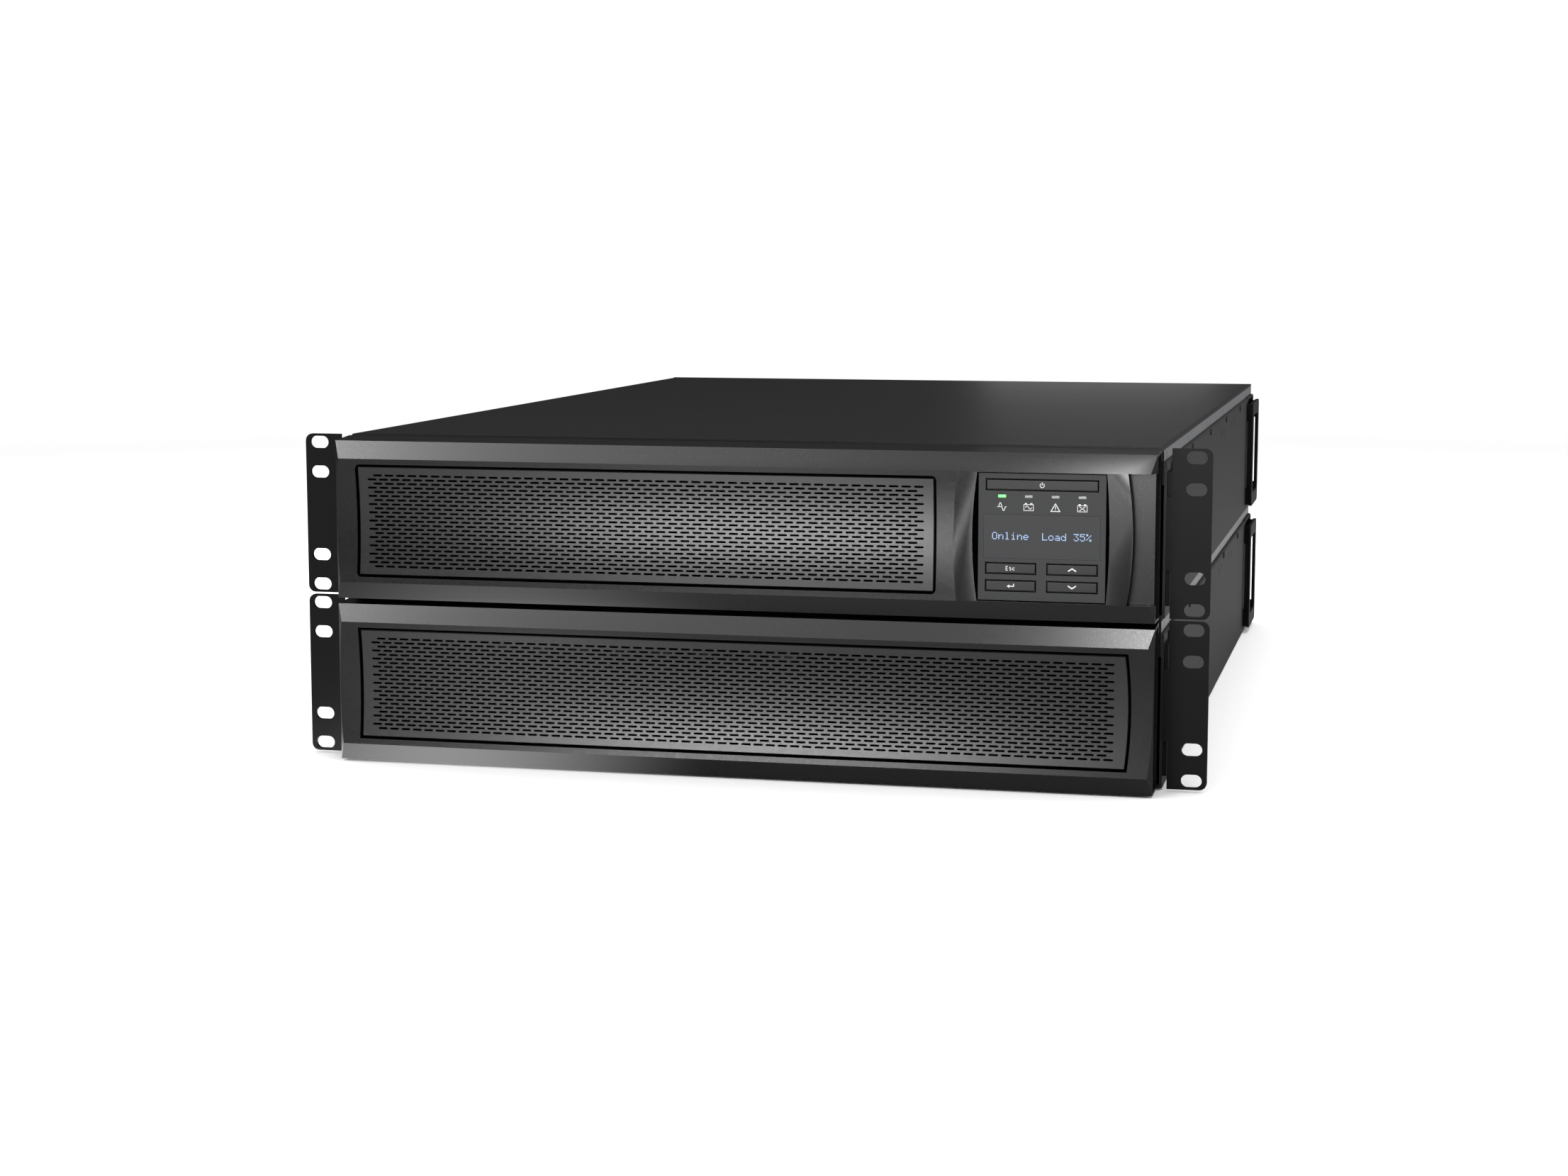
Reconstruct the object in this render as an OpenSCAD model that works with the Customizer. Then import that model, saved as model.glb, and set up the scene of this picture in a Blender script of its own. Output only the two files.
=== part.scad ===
// Rack-mount uninterruptible power supply with its matching battery unit below it.
// X runs along the rack opening, +Y runs into the rack and +Z is up.
// The origin is the centre of the footprint, on the plane the lower unit stands on.
// Inside the modules Y = 0 is the front face of the mounting ears, and each unit's
// own Z = 0 is the plane that its feet stand on.

/* [Rack] */
// Overall width across the mounting ears
rack_w = 480.6; // [476:0.1:482.6]
// Distance between the left and right rows of ear slots
slot_span = 465.1; // [465:0.1:465.2]
// Height between the top and bottom slots of an ear
slot_rise_outer = 76.2; // [76:0.1:76.4]
// Height between the two middle slots of an ear
slot_rise_inner = 44.45; // [44:0.05:45]
// Overall length of an ear slot
slot_len = 10.4; // [9:0.1:11]
// Width of an ear slot
slot_w = 6.6; // [6:0.1:7]
// Thickness of the ear plate
ear_t = 2; // [1.5:0.1:2.5]
// Depth of the ear flange along the side of the case
ear_flange_d = 46; // [36:1:60]
// Height of an ear
ear_h = 85.2; // [84:0.1:85.6]

/* [Case] */
// Height from one unit's resting plane to the next
unit_pitch = 86.3; // [86.3:0.1:104]
// Thickness of the resting pads under each unit
foot_h = 0.7; // [0.4:0.1:1.2]
// Outside width of the lower tray of the case
case_w = 435.5; // [430:0.5:437]
// Depth of the case behind the front face of the ears
case_d = 636; // [530:1:764]
// Sheet thickness of the tray and rear panel
tray_t = 1.5; // [1:0.1:2]
// Sheet thickness of the top cover
cover_t = 1.2; // [0.8:0.1:1.6]
// Height of the strip of top cover that shows above the tray
cover_show = 7; // [5:0.5:10]
// Spacing of the hooks that hold the cover to the tray
hook_pitch = 120; // [100:5:120]
// Gap between sheet parts that lie side by side
sheet_gap = 0.25; // [0.2:0.05:0.4]
// Depth of the finger pocket behind each rear handle
pocket_deep = 18; // [12:1:24]
// Length of the finger pocket
pocket_len = 48; // [40:1:56]
// Stand-off of a rear handle plate from the side of the case
handle_gap = 4.2; // [3:0.1:5]

/* [Front bezel] */
// Width of a bezel
bezel_w = 430.4; // [426:0.2:432]
// How far the bezel's fullest line stands in front of the ears
bezel_reach = 23; // [20:0.1:27.6]
// How far back the top and bottom edges of the bezel lie from that line
edge_setback = 3.5; // [2:0.5:5]
// How deep the hollow of the front panel is
panel_hollow = 2.7; // [1:0.1:3.4]
// Height of the sloping band along the top
band_h = 9.3; // [7:0.1:12]
// Height of the sloping band along the bottom
sill_h = 8.9; // [7:0.1:12]
// Thickness of the thinnest part of the bezel's front wall
bezel_t = 2.4; // [2:0.1:3]
// Gap around the grille insert
grille_gap = 1.2; // [0.8:0.1:1.6]
// Plain rim between the grille insert and the bands above and below it
grille_rim = 4.1; // [3:0.1:8]
// Vertical spacing of the rows of grille slots
row_pitch = 2.18; // [2:0.02:2.4]
// Number of rows of grille slots
grille_rows = 23; // [15:1:23]

/* [Display] */
// Side of the square display module
module_side = 63.4; // [52:0.1:64.4]
// Distance from the right end of the bezel to the display module
module_inset = 24.7; // [22:0.1:30]
// Depth of the display module
module_d = 34; // [30:1:40]
// Gap around the display module
module_gap = 0.5; // [0.4:0.1:0.8]
// Gap around each key
key_gap = 0.7; // [0.4:0.05:0.9]
// Travel of a key
key_travel = 0.8; // [0.5:0.1:1.2]
// Height of a key
key_h = 4.7; // [4:0.1:5]

/* [Fans] */
// Side of a square fan
fan_side = 70; // [58:1:74]
// Depth of a fan
fan_d = 25; // [20:1:25]
// Radius of a fan's shaft
fan_shaft_r = 1.5; // [1:0.1:2]
// Radial running clearance of a fan's shaft
shaft_gap = 0.05; // [0.02:0.01:0.08]
// Number of blades
fan_blades = 7; // [5:1:9]

/* [Inside] */
// Length of one sealed battery block
block_l = 151; // [120:1:152]
// Height of a battery block without its terminals, lying along the case
block_h = 94; // [78:1:94]
// Thickness of a battery block, which lies on its side
block_t = 65; // [54:1:65]
// Thickness of the battery trays
battery_tray_t = 1.2; // [1:0.1:1.5]

/* [Hidden] */
$fn = 48;
eps = 0.01;

// Levels of the case, from a unit's own resting plane
floor_z = foot_h;
top_z = unit_pitch;
tray_top = top_z - cover_show;
mid_z = (floor_z + top_z) / 2;
case_x = case_w / 2;
inner_x = case_x - tray_t;
cover_x = inner_x - sheet_gap;
front_y = ear_t;
frame_t = 1.5;
frame_y = front_y + frame_t;

// Connectors on the rear panel stand this far behind it
flange_t = 3;
back_y = case_d + flange_t;
centre_y = (back_y - bezel_reach) / 2;

// Levels and depths of a bezel
bezel_x = bezel_w / 2;
bezel_back = -0.4;
bezel_top = top_z - 0.7;
bezel_low = 0.8;
top_fall = 1.4;
crest_z = bezel_top - top_fall;
band_z = crest_z - band_h;
sill_z = bezel_low + sill_h;
full_y = -bezel_reach;
crest_y = full_y + edge_setback;
sill_y = full_y + 0.4;
end_cut = 3;
bezel_end = 4.7;
cavity_y = full_y + panel_hollow + 0.2 + bezel_t;
cavity_top = bezel_top - 2.6;
cavity_low = bezel_low + 2.4;

// Grille inserts
grille_mid = (band_z + sill_z) / 2;
grille_low = sill_z + grille_rim;
grille_high = band_z - grille_rim;
grille_left = 13 - bezel_x;
pack_grille_right = bezel_x - 13.8;
pack_grille_bow = 1.6;
grille_lip = 3;
grille_slot_h = 1.05;
grille_stagger = 3.2;
grille_margin = 4;
grille_bar = 6;

// Raised column beside the display, and the grip at its right
column_side = 10.7;
module_x = bezel_x - module_inset - module_side / 2;
column_left = module_x - module_side / 2 - column_side;
column_right = module_x + module_side / 2 + column_side;
column_left_bow = 2.2;
ups_grille_right = column_left - 11.8;
column_right_bow = 2.8;
opening_bow_left = 2.4;
opening_bow_right = 1.4;
grip_y = full_y + 6.4;
grip_wall_y = grip_y + bezel_t;

// Display module and its keys
module_z = grille_mid;
module_half = module_side / 2;
fascia_y = full_y + 1.3;
fascia_t = 2;
housing_y = fascia_y + fascia_t;
key_y = fascia_y - 0.15;
key_t = 3.2;
key_edge = 4.2;
key_row = 8.7;
wide_key_w = module_side - 2 * key_edge;
key_w = (wide_key_w - 6.3) / 2;
key_x = (wide_key_w - key_w) / 2;
power_z = module_z + module_half - 5.6;
lower_key_z = module_z - module_half + 7.4;
upper_key_z = lower_key_z + key_row;
light_z = power_z - 5.8;
light_x = [-1.5, -0.5, 0.5, 1.5] * module_side * 0.21;
light_w = 4;
light_h = 1.5;
lens_w = module_side - 5.4;
lens_low = upper_key_z + 5;
lens_high = light_z - 9;
lens_h = lens_high - lens_low;
lens_z = (lens_low + lens_high) / 2;
board_y = housing_y + 5.2 + key_travel;
cradle_gap = 0.4;
cradle_d = 8;
door_screw_r = 1.5;
door_head_r = 2.6;
door_screw_in = 85;
door_face = 0.4;
door_slot_x = -140;
door_slot_w = 14;
door_slot_step = 22;
door_slots = 8;
pull_x = -34;
pull_w = 36;
pull_h = 10;

// Rear panel layout
rear_y = case_d - tray_t;
fan_y = rear_y - fan_d;
fan_x = [-152, -78];
fan_bolt = fan_side / 2 - 4.2;
bore_r = fan_side / 2 - 2;
blade_r = bore_r - 1.5;
hub_r = 15;
low_row_z = mid_z - 19.5;
high_row_z = mid_z + 19.5;
outlet_x = [-20, 9, 38, 67];
outlet_w = 27;
outlet_h = 24;
large_x = 102;
large_w = 34;
large_h = 28;
breaker_x = 132;
breaker_r = 6;
reset_r = 3.24;
inlet_x = 166;
inlet_w = 42;
inlet_h = 34;
slot_x = 22;
slot_cover_w = 110;
slot_cover_h = 30;
port_x = 112;
port_w = 54;
port_h = 27;
socket_x = 164;
socket_w = 46;
socket_h = 26;
pack_socket_x = [96, 152];
vent_x = -168;
vent_step = 12;
vent_count = 18;
vent_w = 5;
vent_h = 22;
vent_rise = 16;
screw_r = 2;
head_r = 3.4;
head_t = 1.2;
cover_screw_in = 38;
foot_r = 9;
foot_in = 26;
foot_front = 36;
foot_rear = case_d - 40;

// Finger pockets and handles
pocket_back = case_d - 6;
pocket_front = pocket_back - pocket_len;
pocket_low = 5;
pocket_high = tray_top - 1.5;
handle_t = 2;
handle_in = case_x + handle_gap - handle_t;
handle_front = pocket_front - 7;
handle_back = case_d - 1;
handle_low = 3.4;
side_slot_y = [347, 368, 431, 452];
side_slot_w = 1.6;
side_slot_h = 5;
side_slot_z = tray_top - 8.8;
hook_first = hook_pitch / 7;
handle_high = tray_top - 3.3;
ear_screw_y = [14, 34];
ear_screw_z = [mid_z - 18, mid_z + 18];

// Battery bays
bay_side = 12.7;
bay_left = bay_side - case_x;
pack_bay_right = case_x - bay_side;
ups_bay_right = module_x - module_side / 2 - 20.5;
bay_low = floor_z + tray_t + 6;
bay_high = top_z - 9.8;
bay_gap = 2;
tray_front = frame_y + 6;
terminal_h = 5.5;
block_gap = 0.7;
ups_rows = 3;
pack_rows = 3;
ups_bay_back = tray_front + ups_rows * (block_h + terminal_h + block_gap) + 6;
pack_bay_back = tray_front + 2 * battery_tray_t + block_gap + pack_rows * (block_l + block_gap);

// Battery plug behind the upper unit's bay
plug_x = 79;
plug_z = bay_low + 22;
plug_side = 16;
plug_w = 38;
lead_r = 4;
lead_x = 9;

// Transformer, on the floor to the right of the upper unit's battery bay
core_x = 120;
core_y = 84;
core_z = floor_z + tray_t + 0.1;
core_w = 78;
core_d = 96;
core_h = 60;
core_leg = 14;
core_windows = [16, 64];
core_window_d = 16;
coil_gap = 0.2;

// Power board, with its heatsink and capacitors
power_x = 190;
power_front = ups_bay_back + 40;
power_back = fan_y - 36;
board_low = 8;
power_t = 1.6;
sink_x = -150;
sink_y = power_front + 10;
sink_d = 110;
sink_top = 66;
sink_base_t = 5.3;
fin_count = 11;
fin_step = 9;
fin_t = 2;
can_x = [10, 44, 78, 112];
can_y = power_front + 26;
can_r = 14;
can_h = 50;
on_board = board_low + power_t + 0.1;

// ---------------------------------------------------------------- helpers

// Box between two opposite corners
module slab(x0, x1, y0, y1, z0, z1) {
    translate([x0, y0, z0]) cube([x1 - x0, y1 - y0, z1 - z0]);
}

// Extrudes a Y-Z outline along X
module along_x(x0, x1) {
    translate([x0, 0, 0]) rotate([90, 0, 90]) linear_extrude(x1 - x0) children();
}

// Extrudes an X-Z outline along Y
module along_y(y0, y1) {
    translate([0, y1, 0]) rotate([90, 0, 0]) linear_extrude(y1 - y0) children();
}

// Keeps a shape and adds its mirror image on the other side of the case
module both_sides() {
    children();
    mirror([1, 0, 0]) children();
}

// Cylinder along +Y
module rod_y(x, y0, y1, z, r) {
    translate([x, y0, z]) rotate([-90, 0, 0]) cylinder(r = r, h = y1 - y0);
}

// Points of an arc from a to b that bulges by s to the left of that direction
function arc(a, b, s, n = 12) =
    let (c = norm(b - a), r = (c * c / 4 + s * s) / (2 * abs(s)), d = (b - a) / c,
         side = [-d[1], d[0]] * sign(s), o = (a + b) / 2 - side * (r - abs(s)), h = asin(c / 2 / r))
    [for (i = [0 : n]) let (t = -h + 2 * h * i / n) o + r * (cos(t) * side + sin(t) * d)];

// Outline of a rectangle with round corners
function round_rect(x0, x1, z0, z1, r, n = 5) =
    [for (c = [[x1 - r, z1 - r, 0], [x0 + r, z1 - r, 90], [x0 + r, z0 + r, 180], [x1 - r, z0 + r, 270]])
        for (i = [0 : n]) let (a = c[2] + 90 * i / n) [c[0] + r * cos(a), c[1] + r * sin(a)]];

// Rectangle whose left and right sides bow outwards
function bowed_rect(x0, x1, z0, z1, bow0, bow1) =
    concat(bow1 == 0 ? [[x1, z1], [x1, z0]] : arc([x1, z1], [x1, z0], bow1),
           bow0 == 0 ? [[x0, z0], [x0, z1]] : arc([x0, z0], [x0, z1], bow0));

// The front panel's hollow, from its top edge down to the sill, moved back by a distance
function panel_curve(back = 0) = arc([full_y + back, band_z], [sill_y + back, sill_z], panel_hollow);

// ---------------------------------------------------------------- case

// Floor and sides of a case, with the rear finger pockets
module tray() {
    difference() {
        union() {
            slab(-case_x, case_x, front_y, rear_y - eps, floor_z, floor_z + tray_t);
            both_sides() along_y(front_y, case_d)
                polygon(concat([[inner_x, floor_z], [case_x, floor_z]],
                               [for (i = [0 : 5]) let (a = 90 * i / 5)
                                   [inner_x + tray_t * cos(a), tray_top - tray_t + tray_t * sin(a)]]));
            both_sides() for (y = [hook_first : hook_pitch : case_d - 12])
                slab(inner_x, case_x + 0.7, y + 4, y + 10, tray_top - 4.5, tray_top - 1);
            both_sides() slab(inner_x - pocket_deep, case_x - eps, pocket_front - tray_t,
                              pocket_back + tray_t, pocket_low - tray_t, pocket_high + tray_t);
        }
        both_sides() translate([inner_x - pocket_deep + tray_t, 0, 0])
            along_x(0, pocket_deep + 2 * tray_t)
            polygon(round_rect(pocket_front, pocket_back, pocket_low, pocket_high, 5));
        both_sides() for (y = side_slot_y)
            slab(inner_x - 1, case_x + 1, y - side_slot_w / 2, y + side_slot_w / 2,
                 side_slot_z - side_slot_h / 2, side_slot_z + side_slot_h / 2);
        both_sides() ear_screw_spots(inner_x - 1) cylinder(r = screw_r, h = tray_t + 2);
    }
}

// Holes and screws that hold an ear, along +X from the given distance
module ear_screw_spots(x) {
    for (y = ear_screw_y, z = ear_screw_z) translate([x, y, z]) rotate([0, 90, 0]) children();
}

// Top of a case, with side flanges that drop inside the tray
module top_cover() {
    bend = 2;
    flange_low = tray_top - 12;
    difference() {
        along_y(front_y + 2, rear_y - sheet_gap)
            polygon(concat(
                [[cover_x, flange_low]],
                [for (i = [0 : 5]) let (a = 90 * i / 5)
                    [cover_x - bend + bend * cos(a), top_z - bend + bend * sin(a)]],
                [for (i = [0 : 5]) let (a = 90 + 90 * i / 5)
                    [-cover_x + bend + bend * cos(a), top_z - bend + bend * sin(a)]],
                [[-cover_x, flange_low], [-cover_x + cover_t, flange_low],
                 [-cover_x + cover_t, top_z - cover_t], [cover_x - cover_t, top_z - cover_t],
                 [cover_x - cover_t, flange_low]]));
        both_sides() for (y = [hook_first : hook_pitch : case_d - 12])
            slab(cover_x - cover_t - 1, cover_x + 1, y - 0.5, y + 0.5, tray_top - 1, tray_top + 4.5);
        for (x = [-cover_x + 12, -40, 42, cover_x - 22], y = [front_y + 9])
            slab(x - 4.5, x + 4.5, y - 0.9, y + 0.9, top_z - cover_t - 1, top_z + 1);
        for (p = [[-0.2, 0.42], [0.31, 0.42], [0.31, 0.78]])
            slab(p[0] * case_x - 3.5, p[0] * case_x + 3.5, p[1] * case_d, p[1] * case_d + 1.2,
                 top_z - cover_t - 1, top_z + 1);
        both_sides() slab(inner_x - pocket_deep - 0.5, case_x, pocket_front - tray_t - 0.5, case_d,
                          flange_low - 1, pocket_high + tray_t + 0.3);
    }
    slab(-cover_x + 6, cover_x - 6, front_y + 2, front_y + 2 + cover_t, top_z - 4, top_z - cover_t + eps);
}

// Concentric rings and bars that guard a fan opening
module fan_guard(x) {
    for (r = [10, 18, 26]) translate([x, rear_y, mid_z]) rotate([-90, 0, 0])
        difference() {
            cylinder(r = r + 0.8, h = tray_t);
            translate([0, 0, -1]) cylinder(r = r - 0.8, h = tray_t + 2);
        }
    for (a = [45, 135]) translate([x, 0, mid_z]) rotate([0, a, 0])
        slab(-bore_r - 0.5, bore_r + 0.5, rear_y, case_d, -1, 1);
}

// Blank rear panel with a bent flange at its foot
module rear_blank() {
    slab(-cover_x, cover_x, rear_y, case_d, floor_z + tray_t + sheet_gap, top_z);
    slab(-cover_x + pocket_deep + 2, cover_x - pocket_deep - 2, rear_y - 12, rear_y + eps,
         floor_z + tray_t + sheet_gap, floor_z + 2 * tray_t + sheet_gap);
}

// Holes for the screws that fix the top cover and rear panel
module cover_screw_spots() {
    for (x = [cover_screw_in - case_x, -20, case_x - cover_screw_in])
        translate([x, 0, top_z - 4.6]) children();
}

module ups_rear_panel_shape() {
    difference() {
        rear_blank();
        for (x = fan_x) rod_y(x, rear_y - 1, case_d + 1, mid_z, bore_r);
        for (x = fan_x, sx = [-1, 1], sz = [-1, 1])
            rod_y(x + sx * fan_bolt, rear_y - 1, case_d + 1, mid_z + sz * fan_bolt, screw_r);
        for (x = outlet_x) cut_out(x, low_row_z, outlet_w - 2, outlet_h - 2);
        cut_out(large_x, low_row_z, large_w - 2, large_h - 2);
        cut_out(inlet_x, low_row_z, inlet_w - 6, inlet_h - 6);
        rod_y(breaker_x, rear_y - 1, case_d + 1, low_row_z, breaker_r + 0.2);
        cut_out(slot_x, high_row_z, slot_cover_w - 8, slot_cover_h - 6);
        cut_out(port_x, high_row_z, port_w - 4, port_h - 4);
        cut_out(socket_x, high_row_z, socket_w - 6, socket_h - 6);
        cover_screw_spots() rod_y(0, rear_y - 1, case_d + 1, 0, screw_r);
    }
    for (x = fan_x) fan_guard(x);
}

// Rectangular hole through the rear panel
module cut_out(x, z, w, h) {
    slab(x - w / 2, x + w / 2, rear_y - 1, case_d + 1, z - h / 2, z + h / 2);
}

module pack_rear_panel_shape() {
    difference() {
        rear_blank();
        for (x = pack_socket_x) cut_out(x, mid_z, socket_w - 6, socket_h - 6);
        for (i = [0 : vent_count - 1], z = [mid_z - vent_rise, mid_z + vent_rise])
            cut_out(vent_x + i * vent_step, z, vent_w, vent_h);
        cover_screw_spots() rod_y(0, rear_y - 1, case_d + 1, 0, screw_r);
    }
}

// Bezel catch positions across a unit
module catch_spots() {
    for (x = [25 - bezel_x, -60, 60, bezel_x - 10.2], z = [cavity_top - 3.2, cavity_low + 2])
        translate([x, 0, z]) children();
}

// Screws along the top edge of a battery door
module door_screw_spots(bay_right) {
    for (x = [bay_left + door_screw_in, bay_right - door_screw_in])
        translate([x, 0, bay_high + 3.2]) children();
}

// Front wall of a case: a plate with bent edges, a battery bay and holes for the bezel's catches
module front_frame(bay_right, has_display) {
    w = cover_x - cover_t - 0.5;
    low = floor_z + tray_t + sheet_gap;
    high = top_z - cover_t - sheet_gap;
    cradle = module_half + cradle_gap;
    difference() {
        union() {
            slab(-w, w, front_y, frame_y, low, high);
            slab(-w, w, front_y, front_y + 14, low, low + 1.2);
            both_sides() slab(w - 1.2, w, front_y, front_y + 30, low, tray_top - 14);
            if (has_display)
                slab(module_x - cradle - 1.2, module_x + cradle + 1.2, front_y, front_y + cradle_d,
                     module_z - cradle - 1.2, module_z + cradle + 1.2);
        }
        slab(bay_left, bay_right, front_y - 1, frame_y + 1, bay_low, bay_high);
        catch_spots() slab(-5, 5, front_y - 1, frame_y + 1, -0.9, 2.1);
        if (has_display)
            slab(module_x - cradle, module_x + cradle, front_y - 1, front_y + cradle_d + 1,
                 module_z - cradle, module_z + cradle);
        both_sides() ear_screw_spots(w - 3) cylinder(r = screw_r, h = 6);
        door_screw_spots(bay_right) rod_y(0, front_y - 1, frame_y + 1, 0, door_screw_r + 0.05);
    }
}

// ---------------------------------------------------------------- mounting ears and handles

// Bent plate that bolts to the rack post, drawn for the right-hand side
module ear() {
    low = mid_z - ear_h / 2;
    high = mid_z + ear_h / 2;
    near = case_x + 0.1;
    far = rack_w / 2;
    notch_h = 24;
    notch_w = 2.4;
    corner = 3.8;
    difference() {
        union() {
            along_y(0, ear_t) difference() {
                polygon(concat([[near, low], [far - corner, low]],
                    [for (i = [0 : 6]) let (a = -90 + 15 * i)
                        [far - corner + corner * cos(a), low + corner + corner * sin(a)]],
                    [for (i = [0 : 6]) let (a = 15 * i)
                        [far - corner + corner * cos(a), high - corner + corner * sin(a)]],
                    [[near, high]]));
            }
            slab(near, near + ear_t, 0, ear_flange_d, low + 6, high - 12);
        }
        for (z = [low - 1, high - notch_h]) slab(near - 1, near + notch_w, -1, ear_t + 1, z, z + notch_h + 1);
        for (z = [-slot_rise_outer, -slot_rise_inner, slot_rise_inner, slot_rise_outer] / 2)
            ear_slot(slot_span / 2, mid_z + z);
        ear_screw_spots(near - 1) cylinder(r = screw_r, h = ear_t + 2);
    }
}

// Slot with round ends, centred on its rack hole
module ear_slot(x, z) {
    half = (slot_len - slot_w) / 2;
    for (s = [-half, half]) rod_y(x + s, -1, ear_t + 1, z, slot_w / 2);
    slab(x - half, x + half, -1, ear_t + 1, z - slot_w / 2, z + slot_w / 2);
}

// Pull handle beside the rear finger pocket, drawn for the right-hand side
module handle() {
    rim = 9;
    tab = 12;
    difference() {
        along_x(handle_in, handle_in + handle_t)
            polygon(round_rect(handle_front, handle_back, handle_low, handle_high, 4));
        along_x(handle_in - 1, handle_in + handle_t + 1)
            polygon(round_rect(handle_front + rim, handle_back - rim,
                               handle_low + rim, handle_high - rim, 3));
    }
    for (z = [handle_low + 1, handle_high - tab - 1])
        slab(case_x + 0.02, handle_in + eps, handle_front + 1, handle_front + 4, z, z + tab);
    for (z = [handle_low + 1, handle_high - tab - 1])
        slab(case_x + 0.02, handle_in + eps, handle_back - 4, handle_back - 1, z, z + tab);
}

// ---------------------------------------------------------------- bezels and grilles

// Outside of a bezel: a side profile cut by the plan view, which tapers the ends
module bezel_body() {
    intersection() {
        along_x(-bezel_x, bezel_x)
            polygon(concat([[bezel_back, bezel_low], [bezel_back, bezel_top], [crest_y, crest_z]],
                           panel_curve(), [[crest_y + 0.1, bezel_low]]));
        translate([0, 0, bezel_low - 1]) linear_extrude(bezel_top - bezel_low + 2)
            polygon([[-bezel_x, bezel_back + 1], [-bezel_x, crest_y], [-bezel_x + end_cut, full_y - 0.1],
                     [bezel_x - end_cut, full_y - 0.1], [bezel_x, crest_y], [bezel_x, bezel_back + 1]]);
    }
}

// Room behind a bezel's front wall, and the open pockets in its ends
module bezel_hollow() {
    along_x(-bezel_x + bezel_end, bezel_x - bezel_end)
        polygon([[bezel_back + 1, cavity_low], [bezel_back + 1, cavity_top],
                 [crest_y + 2.8, cavity_top - 1.2], [cavity_y, cavity_top - 4],
                 [cavity_y, cavity_low + 4], [crest_y + 2.8, cavity_low]]);
    both_sides() along_x(bezel_x - 2.8, bezel_x + 1)
        polygon([[-1.8, bezel_low + 1.3], [-1.8, bezel_top - 1.5],
                 [crest_y + 1.3, crest_z - 1.4], [crest_y + 1.3, bezel_low + 1.3]]);
}

// Spring catches that reach back through the front frame
module bezel_catches() {
    catch_spots() {
        slab(-4, 4, cavity_y - 1, frame_y + 5, 0, 1.2);
        slab(-4, 4, frame_y + 1, frame_y + 3, 1.2 - eps, 1.6);
    }
}

module ups_bezel_shape() {
    left = module_x - module_half - module_gap;
    right = module_x + module_half + module_gap;
    low = module_z - module_half - module_gap;
    high = module_z + module_half + module_gap;
    difference() {
        union() {
            difference() {
                union() {
                    bezel_body();
                    column();
                }
                bezel_hollow();
                grip_cut();
            }
            grip_floor();
        }
        along_y(full_y - 1, bezel_back + 2)
            polygon(bowed_rect(left, right, low, high, opening_bow_left, opening_bow_right));
        along_y(full_y - 1, bezel_back + 2)
            polygon(round_rect(grille_left - grille_gap, ups_grille_right + grille_gap,
                               grille_low - grille_gap, grille_high + grille_gap, 2.4));
    }
    bezel_catches();
}

// Flat raised field around the display, with bowed sides
module column() {
    intersection() {
        along_y(full_y - 1, cavity_y + 1)
            polygon(bowed_rect(column_left, column_right, sill_z, band_z, column_left_bow, column_right_bow));
        along_x(column_left - 10, column_right + 10)
            polygon([[cavity_y + 0.5, sill_z], [sill_y, sill_z], [full_y, band_z], [cavity_y + 0.5, band_z]]);
    }
}

// Hand grip at the right end: the field's bowed edge is its left wall
module grip_cut() {
    difference() {
        slab(column_right - 1, bezel_x + 1, full_y - 1, grip_y, sill_z, band_z);
        along_y(full_y - 2, grip_y + 1)
            polygon(bowed_rect(column_left, column_right, sill_z, band_z, column_left_bow, column_right_bow));
    }
}

module grip_floor() {
    slab(column_right - 2, bezel_x - 1, grip_y, grip_wall_y, sill_z - 1, band_z + 1);
    slab(column_right - 2, column_right, cavity_y - 1, grip_wall_y, sill_z - 1, band_z + 1);
}

module pack_bezel_shape() {
    difference() {
        bezel_body();
        bezel_hollow();
        along_y(full_y - 1, bezel_back + 2)
            polygon(bowed_rect(grille_left - grille_gap, pack_grille_right + grille_gap,
                               grille_low - grille_gap, grille_high + grille_gap, 0, pack_grille_bow));
    }
    bezel_catches();
}

// Slotted insert that follows the hollow of the front panel, held by a lip behind the bezel
module grille(right, bow, bays) {
    bay = (right - grille_left - 3 * grille_margin) / bays;
    first_z = grille_mid - (grille_rows - 1) * row_pitch / 2;
    difference() {
        union() {
            intersection() {
                along_y(full_y - 1, cavity_y + 0.2)
                    polygon(bowed_rect(grille_left, right, grille_low, grille_high, 0, bow));
                along_x(grille_left - 1, right + 4)
                    polygon(concat(panel_curve(0.5), [[cavity_y + 0.2, sill_z], [cavity_y + 0.2, band_z]]));
            }
            slab(grille_left - grille_lip, right + grille_lip + bow, cavity_y + 0.1, cavity_y + 1.4,
                 grille_low - grille_lip, grille_high + grille_lip);
        }
        for (i = [0 : grille_rows - 1], k = [0 : bays - 1])
            let (x = grille_left + grille_margin + k * bay + (i % 2) * grille_stagger,
                 z = first_z + i * row_pitch)
                slab(x, x + bay - grille_bar, full_y - 1, cavity_y + 3,
                     z - grille_slot_h / 2, z + grille_slot_h / 2);
    }
}

// ---------------------------------------------------------------- display module

// Window through the fascia, widened by a gap on every side
module fascia_window(x, z, w, h, gap) {
    slab(module_x + x - w / 2 - gap, module_x + x + w / 2 + gap, fascia_y - 1, housing_y + 1,
         z - h / 2 - gap, z + h / 2 + gap);
}

module display_fascia_shape() {
    difference() {
        slab(module_x - module_half, module_x + module_half, fascia_y, housing_y,
             module_z - module_half, module_z + module_half);
        fascia_window(0, power_z, wide_key_w, key_h, key_gap);
        for (x = [-key_x, key_x], z = [upper_key_z, lower_key_z]) fascia_window(x, z, key_w, key_h, key_gap);
        for (x = light_x) fascia_window(x, light_z, light_w, light_h, 0);
        fascia_window(0, lens_z, lens_w, lens_h, 0);
    }
}

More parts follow.
